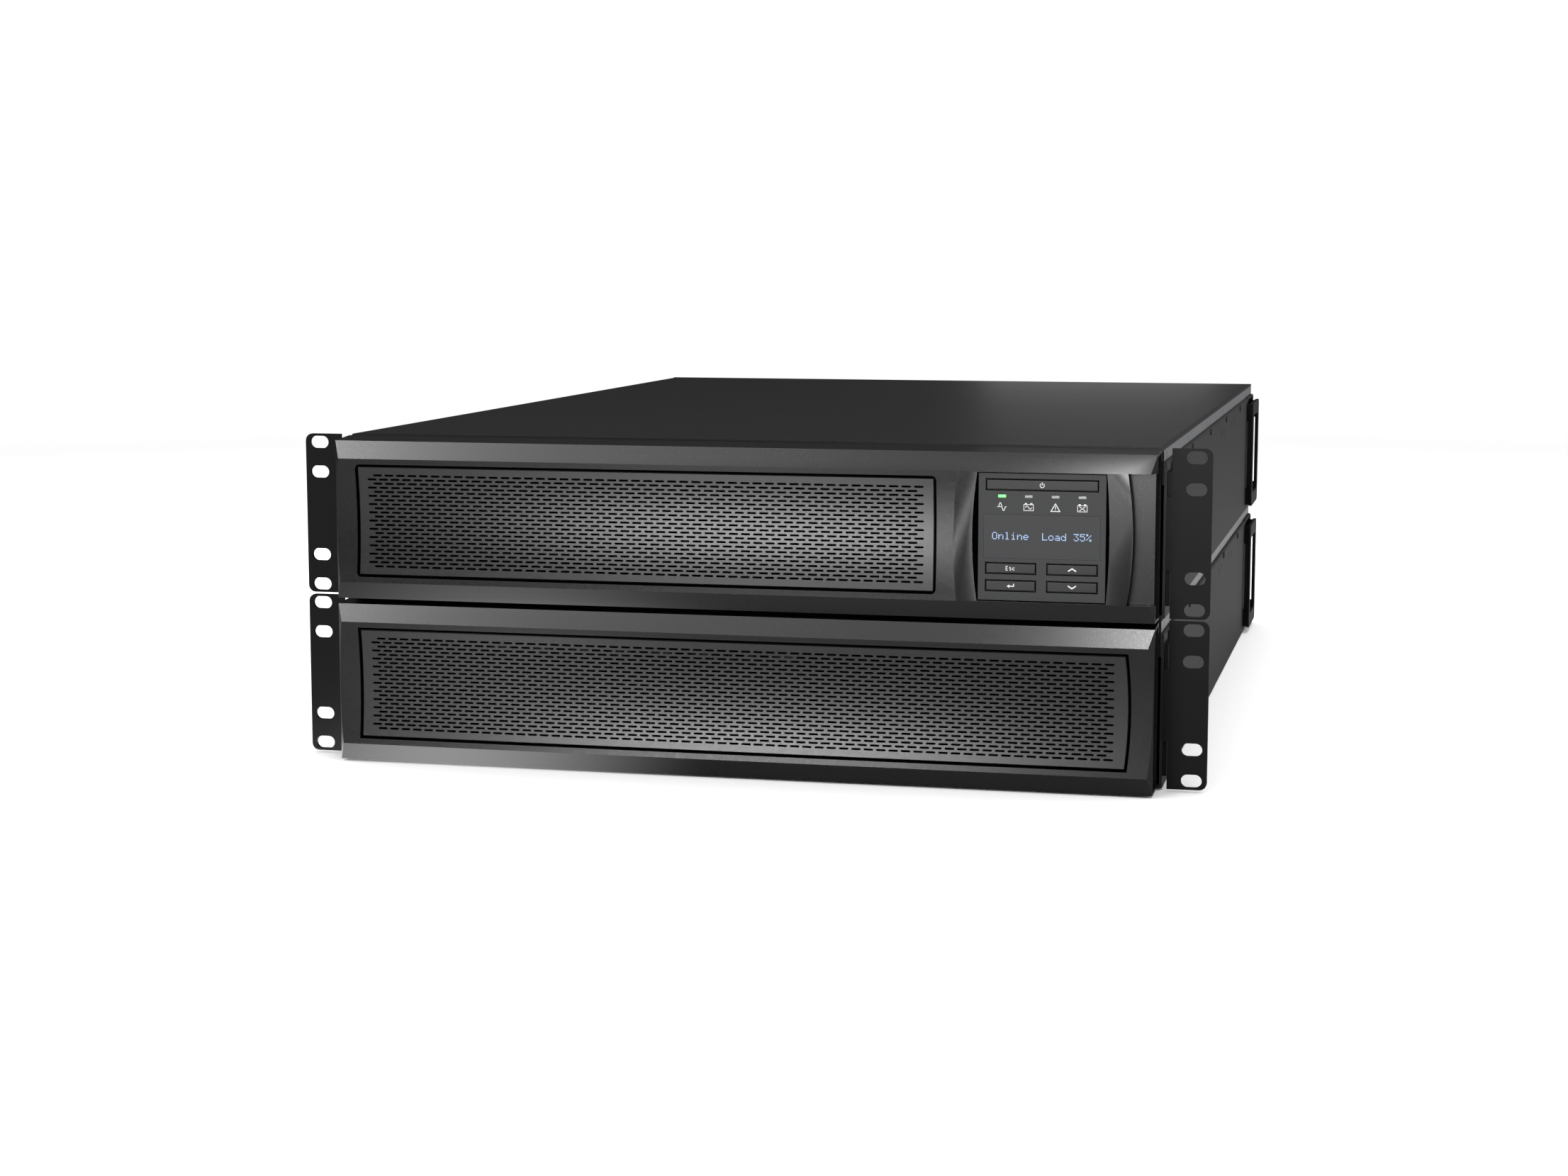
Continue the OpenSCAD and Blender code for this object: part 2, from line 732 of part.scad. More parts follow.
module display_housing_shape() {
    wall = 1.8;
    back = housing_y + module_d;
    difference() {
        slab(module_x - module_half, module_x + module_half, housing_y, back,
             module_z - module_half, module_z + module_half);
        slab(module_x - module_half + wall, module_x + module_half - wall, housing_y - 1, back - wall,
             module_z - module_half + wall, module_z + module_half - wall);
        slab(module_x - 9, module_x + 9, back - wall - 1, back + 1, module_z - 4, module_z + 4);
    }
}

// One key: a cap in the fascia with a wider skirt behind it
module key(x, z, w) {
    slab(module_x + x - w / 2, module_x + x + w / 2, key_y, key_y + key_t, z - key_h / 2, z + key_h / 2);
    slab(module_x + x - w / 2 - 0.8, module_x + x + w / 2 + 0.8, housing_y + 0.4, key_y + key_t,
         z - key_h / 2 - 0.8, z + key_h / 2 + 0.8);
}

// ---------------------------------------------------------------- battery parts

// Outer plate over the battery bay, with screws along its top edge and a pull tab
module battery_door(bay_right) {
    rim = 2.4;
    difference() {
        union() {
            slab(bay_left - rim, bay_right + rim, door_face, front_y - 0.02, bay_low - 1, bay_high + 1);
            door_screw_spots(bay_right) slab(-8, 8, door_face, front_y - 0.02, -3.6, 3);
        }
        for (i = [0 : door_slots - 1]) let (x = door_slot_x + i * door_slot_step)
            slab(x, x + door_slot_w, -1, front_y + 1, mid_z + 14, mid_z + 18);
    }
    door_screw_spots(bay_right) {
        rod_y(0, -2, door_face + eps, 0, door_head_r);
        rod_y(0, front_y - 0.03, frame_y + 3, 0, door_screw_r);
    }
    slab(pull_x - pull_w / 2, pull_x + pull_w / 2, -1, door_face + eps, mid_z - 2 - pull_h, mid_z - 2);
}

// Open-topped tray that carries the battery blocks
module battery_tray(bay_right, tray_back) {
    x0 = bay_left + bay_gap;
    x1 = bay_right - bay_gap;
    low = bay_low + 0.6;
    difference() {
        slab(x0, x1, tray_front, tray_back, low, low + 0.7 * block_t);
        slab(x0 + battery_tray_t, x1 - battery_tray_t,
             tray_front + battery_tray_t, tray_back - battery_tray_t,
             low + battery_tray_t, low + block_t);
    }
}

// One sealed block on its side, with its lid line and its two blade terminals towards the front
module battery_block() {
    lid = 14;
    difference() {
        cube([block_l, block_h, block_t]);
        for (z = [-1, block_t - 0.8]) translate([-1, lid, z]) cube([block_l + 2, 0.8, 1.8]);
    }
    for (x = [10, block_l - 16]) translate([x, -terminal_h, block_t / 2 - 3])
        cube([0.8, terminal_h + eps, 6.3]);
}

// Blocks in rows across the bay, as many as the bay's width takes
module ups_block_rows() {
    step = block_l + block_gap;
    columns = floor((ups_bay_right - bay_left - 2 * bay_gap - 2 * battery_tray_t - block_gap) / step);
    for (i = [0 : columns - 1], k = [0 : ups_rows - 1])
        translate([bay_left + bay_gap + battery_tray_t + block_gap + i * step,
                   tray_front + battery_tray_t + block_gap + terminal_h
                       + k * (block_h + terminal_h + block_gap),
                   bay_low + 0.7 + battery_tray_t]) battery_block();
}

// The battery unit's blocks are turned a quarter, with their terminals to the right
module pack_block_rows() {
    step = block_h + terminal_h + block_gap;
    columns = floor((pack_bay_right - bay_left - 2 * bay_gap - 2 * battery_tray_t - block_gap) / step);
    for (i = [0 : columns - 1], k = [0 : pack_rows - 1])
        translate([bay_left + bay_gap + battery_tray_t + block_gap + block_h + i * step,
                   tray_front + battery_tray_t + block_gap + k * (block_l + block_gap),
                   bay_low + 0.7 + battery_tray_t]) rotate([0, 0, 90]) battery_block();
}

// ---------------------------------------------------------------- rear connectors

// Framed opening that stands on the outside of the rear panel
module rear_flange(x, z, w, h) {
    slab(x - w / 2, x + w / 2, case_d, back_y, z - h / 2, z + h / 2);
}

// Socket for one appliance plug: a shaped trench round a core with three slots
module outlet(x, z, w, h) {
    deep = 20;
    difference() {
        union() {
            rear_flange(x, z, w + 1, h + 1);
            slab(x - w / 2 + 1.2, x + w / 2 - 1.2, case_d - deep, case_d + eps,
                 z - h / 2 + 1.2, z + h / 2 - 1.2);
        }
        difference() {
            along_y(case_d - deep + 3, back_y + 1) polygon(plug_outline(x, z, w - 5.4, h - 5.6));
            along_y(case_d - deep, back_y - 0.6) polygon(plug_outline(x, z, w - 9.6, h - 9.8));
        }
        for (p = [[-0.22, -0.07], [0.22, -0.07], [0, 0.1]])
            slab(x + p[0] * w - 0.9, x + p[0] * w + 0.9, case_d - deep + 3, back_y + 1,
                 z + p[1] * h - 2, z + p[1] * h + 2);
    }
}

// Rectangle with two cut corners at the top
function plug_outline(x, z, w, h) =
    [[x - w / 2, z - h / 2], [x + w / 2, z - h / 2], [x + w / 2, z + h / 4],
     [x + w / 4, z + h / 2], [x - w / 4, z + h / 2], [x - w / 2, z + h / 4]];

// Two-pole battery connector: a deep pocket with two contact blades
module power_socket(x, z) {
    deep = 24;
    difference() {
        union() {
            rear_flange(x, z, socket_w, socket_h);
            slab(x - socket_w / 2 + 3.2, x + socket_w / 2 - 3.2, case_d - deep, case_d + eps,
                 z - socket_h / 2 + 3.2, z + socket_h / 2 - 3.2);
        }
        slab(x - socket_w / 2 + 6, x + socket_w / 2 - 6, case_d - deep + 3, back_y + 1,
             z - socket_h / 2 + 5.4, z + socket_h / 2 - 5.4);
    }
    for (s = [-8, 8]) slab(x + s - 5, x + s + 5, case_d - deep + 2, case_d - 6, z - 1.2, z + 1.2);
}

// ---------------------------------------------------------------- fans

// Square frame with a round bore, three rear arms and the fixed shaft
module fan_frame(x) {
    y1 = rear_y - 0.02;
    y0 = y1 - fan_d;
    difference() {
        slab(x - fan_side / 2, x + fan_side / 2, y0, y1, mid_z - fan_side / 2, mid_z + fan_side / 2);
        rod_y(x, y0 - 1, y1 + 1, mid_z, bore_r);
        for (sx = [-1, 1], sz = [-1, 1])
            rod_y(x + sx * fan_bolt, y0 - 1, y1 + 1, mid_z + sz * fan_bolt, screw_r);
    }
    for (a = [30, 150, 270]) translate([x, 0, mid_z]) rotate([0, a, 0])
        slab(0, bore_r + 0.5, y0, y0 + 2.4, -1.8, 1.8);
    rod_y(x, y0, y0 + 2.4, mid_z, hub_r);
    rod_y(x, y0 + 2, y1 - 6, mid_z, fan_shaft_r);
}

// Hub and blades that turn on the fixed shaft
module fan_rotor(x) {
    y0 = rear_y - fan_d + 3.2;
    y1 = rear_y - 3;
    difference() {
        union() {
            rod_y(x, y0, y1, mid_z, hub_r);
            for (i = [0 : fan_blades - 1])
                translate([x, (y0 + y1) / 2, mid_z]) rotate([0, i * 360 / fan_blades, 0])
                intersection() {
                    translate([hub_r - 1, 0, 0]) rotate([38, 0, 0]) translate([0, -12, -0.7])
                        cube([blade_r - hub_r + 4, 24, 1.4]);
                    rotate([90, 0, 0]) cylinder(r = blade_r, h = y1 - y0 - 2, center = true);
                }
        }
        rod_y(x, y0 - 1, y1 - 1.5, mid_z, fan_shaft_r + shaft_gap);
    }
}

// ---------------------------------------------------------------- sub-parts of the upper unit

module in_frame() { translate([0, -centre_y, 0]) children(); }
module in_upper() { translate([0, -centre_y, unit_pitch]) children(); }

module ups_tray() { color("#26282b") in_upper() tray(); }
module ups_top_cover() { color("#2e3033") in_upper() top_cover(); }
module ups_rear_panel() { color("#242629") in_upper() ups_rear_panel_shape(); }
module ups_front_frame() { color("#36383b") in_upper() front_frame(ups_bay_right, true); }
module ups_bezel() { color("#1d1e20") in_upper() ups_bezel_shape(); }
module ups_grille() { color("#232527") in_upper() grille(ups_grille_right, 0, 4); }
module display_housing() { color("#18191a") in_upper() display_housing_shape(); }
module display_fascia() { color("#2a2c30") in_upper() display_fascia_shape(); }

module display_lens() {
    color("#1c1f26") in_upper() difference() {
        fascia_window(0, lens_z, lens_w, lens_h, -0.05);
        slab(module_x - lens_w, module_x + lens_w, fascia_y - 2, fascia_y, lens_z - lens_h, lens_z + lens_h);
        slab(module_x - lens_w, module_x + lens_w, housing_y, housing_y + 2,
             lens_z - lens_h, lens_z + lens_h);
    }
}

module display_screen() {
    color("#39506b") in_upper()
        slab(module_x - lens_w / 2 + 1, module_x + lens_w / 2 - 1, housing_y + 0.3, board_y - 0.1,
             lens_z - lens_h / 2 + 1, lens_z + lens_h / 2 - 1);
}

module display_board() {
    color("#1f5c3a") in_upper()
        slab(module_x - module_half + 2.4, module_x + module_half - 2.4, board_y, board_y + 1.6,
             module_z - module_half + 2.4, module_z + module_half - 2.4);
}

// Light guides from the board to the fascia, one for each state
module status_lights() {
    color("#9fd8a0") in_upper() for (x = light_x)
        slab(module_x + x - light_w / 2 + 0.05, module_x + x + light_w / 2 - 0.05, fascia_y, board_y - 0.1,
             light_z - light_h / 2 + 0.05, light_z + light_h / 2 - 0.05);
}

module power_button() { color("#26282c") in_upper() key(0, power_z, wide_key_w); }
module escape_button() { color("#26282c") in_upper() key(-key_x, upper_key_z, key_w); }
module enter_button() { color("#26282c") in_upper() key(-key_x, lower_key_z, key_w); }
module up_button() { color("#26282c") in_upper() key(key_x, upper_key_z, key_w); }
module down_button() { color("#26282c") in_upper() key(key_x, lower_key_z, key_w); }

module ups_ear_left() { color("#1a1b1d") in_upper() mirror([1, 0, 0]) ear(); }
module ups_ear_right() { color("#1a1b1d") in_upper() ear(); }
module ups_handle_left() { color("#17181a") in_upper() mirror([1, 0, 0]) handle(); }
module ups_handle_right() { color("#17181a") in_upper() handle(); }

module ups_battery_door() { color("#3a3c3f") in_upper() battery_door(ups_bay_right); }
module ups_battery_tray() { color("#54575b") in_upper() battery_tray(ups_bay_right, ups_bay_back); }
module ups_battery_blocks() { color("#3f4247") in_upper() ups_block_rows(); }

// Two-pole plug that joins the battery leads to the power board
module ups_battery_plug() {
    y = ups_bay_back + 2;
    color("#8f9195") in_upper() {
        slab(plug_x - plug_w / 2, plug_x + plug_w / 2, y, y + plug_side,
             plug_z - plug_side / 2, plug_z + plug_side / 2);
        for (s = [-lead_x, lead_x]) rod_y(plug_x + s, y + plug_side - 0.1, y + plug_side + 8, plug_z, lead_r);
    }
}

// Stack of laminations with two windows
module transformer_core() {
    color("#5d6166") in_upper() difference() {
        slab(core_x, core_x + core_w, core_y, core_y + core_d, core_z, core_z + core_h);
        for (y = core_windows)
            slab(core_x + core_leg, core_x + core_w - core_leg, core_y + y, core_y + y + core_window_d,
                 core_z - 1, core_z + core_h + 1);
    }
}

// Winding round the middle leg of the core
module transformer_coils() {
    x0 = core_x + core_leg;
    x1 = core_x + core_w - core_leg;
    y0 = core_y + core_windows[0];
    y1 = core_y + core_windows[1] + core_window_d;
    color("#b4703c") in_upper() difference() {
        slab(x0 + coil_gap, x1 - coil_gap, y0 + coil_gap, y1 - coil_gap, core_z + 0.5, core_z + core_h - 0.5);
        slab(x0, x1, y0 + core_window_d - coil_gap / 2, y1 - core_window_d + coil_gap / 2,
             core_z, core_z + core_h);
    }
}

module power_board() {
    color("#1f5c3a") in_upper()
        slab(-power_x, power_x, power_front, power_back, board_low, board_low + power_t);
}

// Aluminium sink with upright fins along the air stream
module heatsink() {
    color("#9aa0a6") in_upper() {
        slab(sink_x, sink_x + fin_count * fin_step, sink_y, sink_y + sink_d,
             on_board, on_board + sink_base_t);
        for (i = [0 : fin_count - 1]) let (x = sink_x + i * fin_step)
            slab(x, x + fin_t, sink_y, sink_y + sink_d, on_board + sink_base_t - eps, sink_top);
    }
}

module capacitors() {
    color("#30343c") in_upper() for (x = can_x)
        translate([x, can_y, on_board]) cylinder(r = can_r, h = can_h);
}

module fan_frame_left() { color("#1b1c1e") in_upper() fan_frame(fan_x[0]); }
module fan_frame_right() { color("#1b1c1e") in_upper() fan_frame(fan_x[1]); }
module fan_rotor_left() { color("#2b2d30") in_upper() fan_rotor(fan_x[0]); }
module fan_rotor_right() { color("#2b2d30") in_upper() fan_rotor(fan_x[1]); }

// Three-pin supply inlet in a shaped pocket
module ac_inlet() {
    deep = 22;
    rim = 3.5;
    color("#121314") in_upper() {
        difference() {
            union() {
                rear_flange(inlet_x, low_row_z, inlet_w, inlet_h);
                slab(inlet_x - inlet_w / 2 + rim, inlet_x + inlet_w / 2 - rim, case_d - deep, case_d + eps,
                     low_row_z - inlet_h / 2 + rim, low_row_z + inlet_h / 2 - rim);
            }
            along_y(case_d - deep + 4, back_y + 1)
                polygon(plug_outline(inlet_x, low_row_z, inlet_w - 11.4, inlet_h - 10.2));
        }
        for (p = [[-8, -2], [8, -2], [0, 5]])
            slab(inlet_x + p[0] - 1, inlet_x + p[0] + 1, case_d - deep + 3, case_d - 4,
                 low_row_z + p[1] - 4, low_row_z + p[1] + 4);
    }
}

module outlet_bank() {
    color("#121314") in_upper() for (x = outlet_x) outlet(x, low_row_z, outlet_w, outlet_h);
}

module large_outlet() { color("#121314") in_upper() outlet(large_x, low_row_z, large_w, large_h); }

module breaker_body() {
    color("#1b1c1e") in_upper() difference() {
        union() {
            rod_y(breaker_x, case_d, case_d + 2, low_row_z, breaker_r + 2);
            rod_y(breaker_x, case_d - 14, case_d + eps, low_row_z, breaker_r);
            slab(breaker_x - 9, breaker_x + 9, case_d - 44, case_d - 13.9, low_row_z - 14, low_row_z + 14);
        }
        rod_y(breaker_x, case_d - 20, case_d + 3, low_row_z, reset_r + 0.06);
    }
}

// Reset plunger, pushed in while the breaker is closed
module breaker_button() {
    color("#d8d8d6") in_upper() rod_y(breaker_x, case_d - 19, back_y - 0.2, low_row_z, reset_r);
}

module battery_socket() { color("#7d8085") in_upper() power_socket(socket_x, high_row_z); }

// Blank plate over the accessory slot, with two thumb screws
module slot_cover() {
    color("#2b2d30") in_upper() {
        slab(slot_x - slot_cover_w / 2, slot_x + slot_cover_w / 2, case_d, case_d + 1.2,
             high_row_z - slot_cover_h / 2, high_row_z + slot_cover_h / 2);
        for (s = [-1, 1])
            rod_y(slot_x + s * (slot_cover_w / 2 - 5), case_d + 1.1, back_y - 0.2, high_row_z, 3.6);
    }
}

// Signal ports: two network-style jacks, one square port and one serial shell
module port_block() {
    jack_w = 12;
    color("#8f9195") in_upper() difference() {
        union() {
            slab(port_x - port_w / 2, port_x + port_w / 2, case_d, case_d + 1.2,
                 high_row_z - port_h / 2, high_row_z + port_h / 2);
            slab(port_x - port_w / 2 + 3, port_x + port_w / 2 - 3, case_d - 20, case_d + eps,
                 high_row_z - port_h / 2 + 3, high_row_z + port_h / 2 - 3);
        }
        for (x = [-18, -3]) slab(port_x + x - jack_w / 2, port_x + x + jack_w / 2, case_d - 14, back_y,
                                 high_row_z - 5, high_row_z + 5);
        slab(port_x + 9, port_x + 19, case_d - 14, back_y, high_row_z - 4.5, high_row_z + 4.5);
    }
}

// ---------------------------------------------------------------- sub-parts of the battery unit

module pack_tray() { color("#26282b") in_frame() tray(); }
module pack_top_cover() { color("#2e3033") in_frame() top_cover(); }
module pack_rear_panel() { color("#242629") in_frame() pack_rear_panel_shape(); }
module pack_front_frame() { color("#36383b") in_frame() front_frame(pack_bay_right, false); }
module pack_bezel() { color("#1d1e20") in_frame() pack_bezel_shape(); }
module pack_grille() { color("#232527") in_frame() grille(pack_grille_right, pack_grille_bow, 5); }
module pack_ear_left() { color("#1a1b1d") in_frame() mirror([1, 0, 0]) ear(); }
module pack_ear_right() { color("#1a1b1d") in_frame() ear(); }
module pack_handle_left() { color("#17181a") in_frame() mirror([1, 0, 0]) handle(); }
module pack_handle_right() { color("#17181a") in_frame() handle(); }
module pack_battery_door() { color("#3a3c3f") in_frame() battery_door(pack_bay_right); }
module pack_battery_tray() { color("#54575b") in_frame() battery_tray(pack_bay_right, pack_bay_back); }
module pack_battery_blocks() { color("#3f4247") in_frame() pack_block_rows(); }
module pack_sockets() { color("#7d8085") in_frame() for (x = pack_socket_x) power_socket(x, mid_z); }

// ---------------------------------------------------------------- shared small parts

// Screws that hold the ears to the case
module ear_screws() {
    color("#6f7275") for (lift = [0, unit_pitch]) translate([0, -centre_y, lift])
        both_sides() ear_screw_spots(case_x) {
            translate([0, 0, ear_t + 0.1]) cylinder(r = head_r, h = head_t);
            translate([0, 0, -5]) cylinder(r = screw_r - 0.05, h = ear_t + 5.2);
        }
}

// Screws that hold the covers to the rear panels
module cover_screws() {
    color("#6f7275") for (lift = [0, unit_pitch]) translate([0, -centre_y, lift])
        cover_screw_spots() {
            rod_y(0, case_d, case_d + head_t, 0, head_r);
            rod_y(0, rear_y - 6, case_d + 0.1, 0, screw_r - 0.05);
        }
}

// Thin round pads under both units
module feet() {
    color("#101011") for (lift = [0, unit_pitch]) translate([0, -centre_y, lift])
        for (x = [-case_x + foot_in, case_x - foot_in], y = [foot_front, foot_rear])
            translate([x, y, 0]) cylinder(r = foot_r, h = foot_h);
}

// ---------------------------------------------------------------- what is drawn

ups_tray();
ups_top_cover();
ups_rear_panel();
ups_front_frame();
ups_bezel();
ups_grille();
display_housing();
display_fascia();
display_lens();
display_screen();
display_board();
status_lights();
power_button();
escape_button();
enter_button();
up_button();
down_button();
ups_ear_left();
ups_ear_right();
ups_handle_left();
ups_handle_right();
ups_battery_door();
ups_battery_tray();
ups_battery_blocks();
ups_battery_plug();
transformer_core();
transformer_coils();
power_board();
heatsink();
capacitors();
fan_frame_left();
fan_frame_right();
fan_rotor_left();
fan_rotor_right();
ac_inlet();
outlet_bank();
large_outlet();
breaker_body();
breaker_button();
battery_socket();
slot_cover();
port_block();
pack_tray();
pack_top_cover();
pack_rear_panel();
pack_front_frame();
pack_bezel();
pack_grille();
pack_ear_left();
pack_ear_right();
pack_handle_left();
pack_handle_right();
pack_battery_door();
pack_battery_tray();
pack_battery_blocks();
pack_sockets();
ear_screws();
cover_screws();
feet();
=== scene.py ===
"""Looks of a rack-mount power supply and its battery unit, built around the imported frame.

X runs along the rack opening, +Y into the rack and +Z up. The shapes of pieces are worked out in
millimetres and multiplied by MM when their meshes are made. The stage, lights and camera are in metres.
"""

import math

import bmesh
import bpy
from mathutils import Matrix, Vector


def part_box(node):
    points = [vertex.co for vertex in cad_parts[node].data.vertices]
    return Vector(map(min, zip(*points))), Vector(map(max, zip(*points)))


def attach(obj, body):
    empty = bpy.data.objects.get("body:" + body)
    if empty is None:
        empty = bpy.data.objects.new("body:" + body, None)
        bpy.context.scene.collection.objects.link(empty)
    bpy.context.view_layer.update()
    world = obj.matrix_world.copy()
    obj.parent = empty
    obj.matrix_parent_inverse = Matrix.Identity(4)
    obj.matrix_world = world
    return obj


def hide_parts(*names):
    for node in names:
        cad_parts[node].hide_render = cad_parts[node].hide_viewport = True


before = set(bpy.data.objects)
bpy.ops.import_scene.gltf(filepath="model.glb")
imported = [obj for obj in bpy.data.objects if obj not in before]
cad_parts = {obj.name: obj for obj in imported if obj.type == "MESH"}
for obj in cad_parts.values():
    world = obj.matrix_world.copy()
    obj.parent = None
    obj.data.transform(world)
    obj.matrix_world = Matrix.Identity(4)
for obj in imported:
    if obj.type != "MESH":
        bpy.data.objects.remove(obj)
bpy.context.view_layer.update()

MM = 0.001
SHARP_ANGLE = 30.0  # a mesh is smooth across edges that bend less than this


# ------------------------------------------------------------------ small helpers

def box_mm(node):
    """Lowest and highest corners of a CAD node, in millimetres."""
    low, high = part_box(node)
    return low / MM, high / MM


def mesh_object(name, vertices, faces, material, body):
    """New mesh piece from millimetre points, riding on a body."""
    mesh = bpy.data.meshes.new(name)
    mesh.from_pydata([Vector(v) * MM for v in vertices], [], faces)
    mesh.validate()
    mesh.update()
    return place_mesh(name, mesh, material, body)


def place_mesh(name, mesh, material, body):
    """Puts a finished mesh in the scene with one material, smooth except at real edges."""
    for polygon in mesh.polygons:
        polygon.use_smooth = True
    mesh.set_sharp_from_angle(angle=math.radians(SHARP_ANGLE))
    mesh.materials.append(material)
    piece = bpy.data.objects.new(name, mesh)
    bpy.context.scene.collection.objects.link(piece)
    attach(piece, body)
    return piece


def mesh_from(name, bm):
    """Mesh with what an edit mesh holds. The edit mesh is freed."""
    mesh = bpy.data.meshes.new(name)
    bm.to_mesh(mesh)
    bm.free()
    return mesh


def around(loop):
    """Each item of a closed loop with the next one."""
    loop = list(loop)
    return list(zip(loop, loop[1:] + loop[:1]))


def arc_points(centre, radius, start, end, count):
    """Points on an arc in the X-Z plane, angles in degrees."""
    angles = [math.radians(start + (end - start) * i / count) for i in range(count + 1)]
    return [(centre[0] + radius * math.cos(a), centre[1] + radius * math.sin(a)) for a in angles]


# ------------------------------------------------------------------ materials

def feed(tree, target, value):
    """Sets a socket to a plain value, or joins another node's output to it."""
    if isinstance(value, bpy.types.NodeSocket):
        tree.links.new(value, target)
    else:
        target.default_value = value


def maths(tree, operation, *values):
    """Result of one operation on sockets and plain numbers."""
    node = tree.nodes.new("ShaderNodeMath")
    node.operation = operation
    for target, value in zip(node.inputs, values):
        feed(tree, target, value)
    return node.outputs["Value"]


def distance_from_origin(tree, place):
    node = tree.nodes.new("ShaderNodeVectorMath")
    node.operation = "LENGTH"
    feed(tree, node.inputs[0], place)
    return node.outputs["Value"]


def map_range(tree, value, start, end, low, high, kind="SMOOTHSTEP"):
    """Goes from low to high while a value goes from start to end."""
    node = tree.nodes.new("ShaderNodeMapRange")
    node.interpolation_type = kind
    for name, number in (("From Min", start), ("From Max", end), ("To Min", low), ("To Max", high)):
        node.inputs[name].default_value = number
    feed(tree, node.inputs["Value"], value)
    return node.outputs["Result"]


TONE_SPAN = (0.3, 0.7)  # the stretch of a noise value over which tone and gloss change


class Nodes:
    """A new material with its node tree, and short ways to add and join nodes."""

    def __init__(self, name, colour, roughness, metallic=0.0, specular=0.5):
        self.material = bpy.data.materials.new(name)
        self.material.use_nodes = True
        self.tree = self.material.node_tree
        self.shader = self.tree.nodes["Principled BSDF"]
        self.shader.inputs["Base Color"].default_value = (*colour, 1.0)
        self.shader.inputs["Roughness"].default_value = roughness
        self.shader.inputs["Metallic"].default_value = metallic
        self.shader.inputs["Specular IOR Level"].default_value = specular
        self.place = self.add("ShaderNodeTexCoord").outputs["Object"]

    def add(self, kind, **inputs):
        node = self.tree.nodes.new(kind)
        for key, value in inputs.items():
            node.inputs[key.replace("_", " ")].default_value = value
        return node

    def join(self, output, target):
        self.tree.links.new(output, target)

    def noise(self, scale, detail=2.0, stretch=(1.0, 1.0, 1.0)):
        """Noise value over the object, with features about 1/scale metres wide."""
        mapping = self.add("ShaderNodeMapping", Scale=stretch)
        texture = self.add("ShaderNodeTexNoise", Scale=scale, Detail=detail, Roughness=0.55)
        self.join(self.place, mapping.inputs["Vector"])
        self.join(mapping.outputs["Vector"], texture.inputs["Vector"])
        return texture.outputs["Fac"]

    def tones(self, factor, dark, light, span=TONE_SPAN):
        """Colour that goes from a dark to a light tone with a factor."""
        ramp = self.add("ShaderNodeValToRGB")
        for element, position, tone in zip(ramp.color_ramp.elements, span, (dark, light)):
            element.position = position
            element.color = (*tone, 1.0)
        self.join(factor, ramp.inputs["Fac"])
        return ramp.outputs["Color"]

    def vary_colour(self, factor, dark, light):
        self.join(self.tones(factor, dark, light), self.shader.inputs["Base Color"])

    def vary_roughness(self, factor, low, high):
        gloss = map_range(self.tree, factor, *TONE_SPAN, low, high, "LINEAR")
        self.join(gloss, self.shader.inputs["Roughness"])

    def bump(self, height, depth_mm, strength=0.5):
        node = self.add("ShaderNodeBump", Strength=strength, Distance=depth_mm * MM)
        self.join(height, node.inputs["Height"])
        self.join(node.outputs["Normal"], self.shader.inputs["Normal"])


def tint(colour, amount):
    """Darker or lighter tone of a colour."""
    return tuple(min(1.0, c * amount) for c in colour)


def grain(nodes, colour, roughness, grain_mm, depth_mm, spread):
    """Fine grain, with slow changes of tone and gloss."""
    nodes.vary_colour(nodes.noise(9.0, 3.0), tint(colour, 0.94), tint(colour, 1.08))
    nodes.vary_roughness(nodes.noise(900.0, 3.0), roughness - spread, roughness + spread)
    nodes.bump(nodes.noise(1.0 / (grain_mm * MM), 3.0), depth_mm)


def grained(name, colour, roughness, grain_mm, depth_mm, specular=0.5, spread=0.03):
    """Moulded plastic or powder coat."""
    nodes = Nodes(name, colour, roughness, 0.0, specular)
    grain(nodes, colour, roughness, grain_mm, depth_mm, spread)
    return nodes.material


def part_coated(name, colour, roughness, bare_colour, bare_beyond):
    """Powder-coated sheet whose side flanges, farther out than a distance, are left as bare metal."""
    nodes = Nodes(name, colour, roughness, 0.0, 0.4)
    grain(nodes, colour, roughness, 0.55, 0.045, 0.03)
    bare = nodes.add("ShaderNodeBsdfPrincipled", Metallic=1.0, Roughness=0.34)
    metal = nodes.tones(nodes.noise(500.0, 3.0), tint(bare_colour, 0.85), tint(bare_colour, 1.1), (0.0, 1.0))
    nodes.join(metal, bare.inputs["Base Color"])
    axes = nodes.add("ShaderNodeSeparateXYZ")
    nodes.join(nodes.place, axes.inputs["Vector"])
    outward = maths(nodes.tree, "ABSOLUTE", axes.outputs["X"])
    blend = nodes.add("ShaderNodeMixShader")
    nodes.join(maths(nodes.tree, "GREATER_THAN", outward, bare_beyond), blend.inputs["Fac"])
    nodes.join(nodes.shader.outputs["BSDF"], blend.inputs[1])
    nodes.join(bare.outputs["BSDF"], blend.inputs[2])
    nodes.join(blend.outputs["Shader"], nodes.tree.nodes["Material Output"].inputs["Surface"])
    return nodes.material


def brushed(name, colour, roughness, direction):
    """Rolled or drawn metal, with fine lines along one direction."""
    stretch = tuple(0.03 if axis == direction else 1.0 for axis in "xyz")
    nodes = Nodes(name, colour, roughness, 1.0)
    lines = nodes.noise(2600.0, 2.0, stretch)
    nodes.vary_colour(nodes.noise(40.0, 3.0), tint(colour, 0.86), tint(colour, 1.08))
    nodes.vary_roughness(lines, roughness - 0.08, roughness + 0.12)
    nodes.bump(lines, 0.02, 0.35)
    return nodes.material


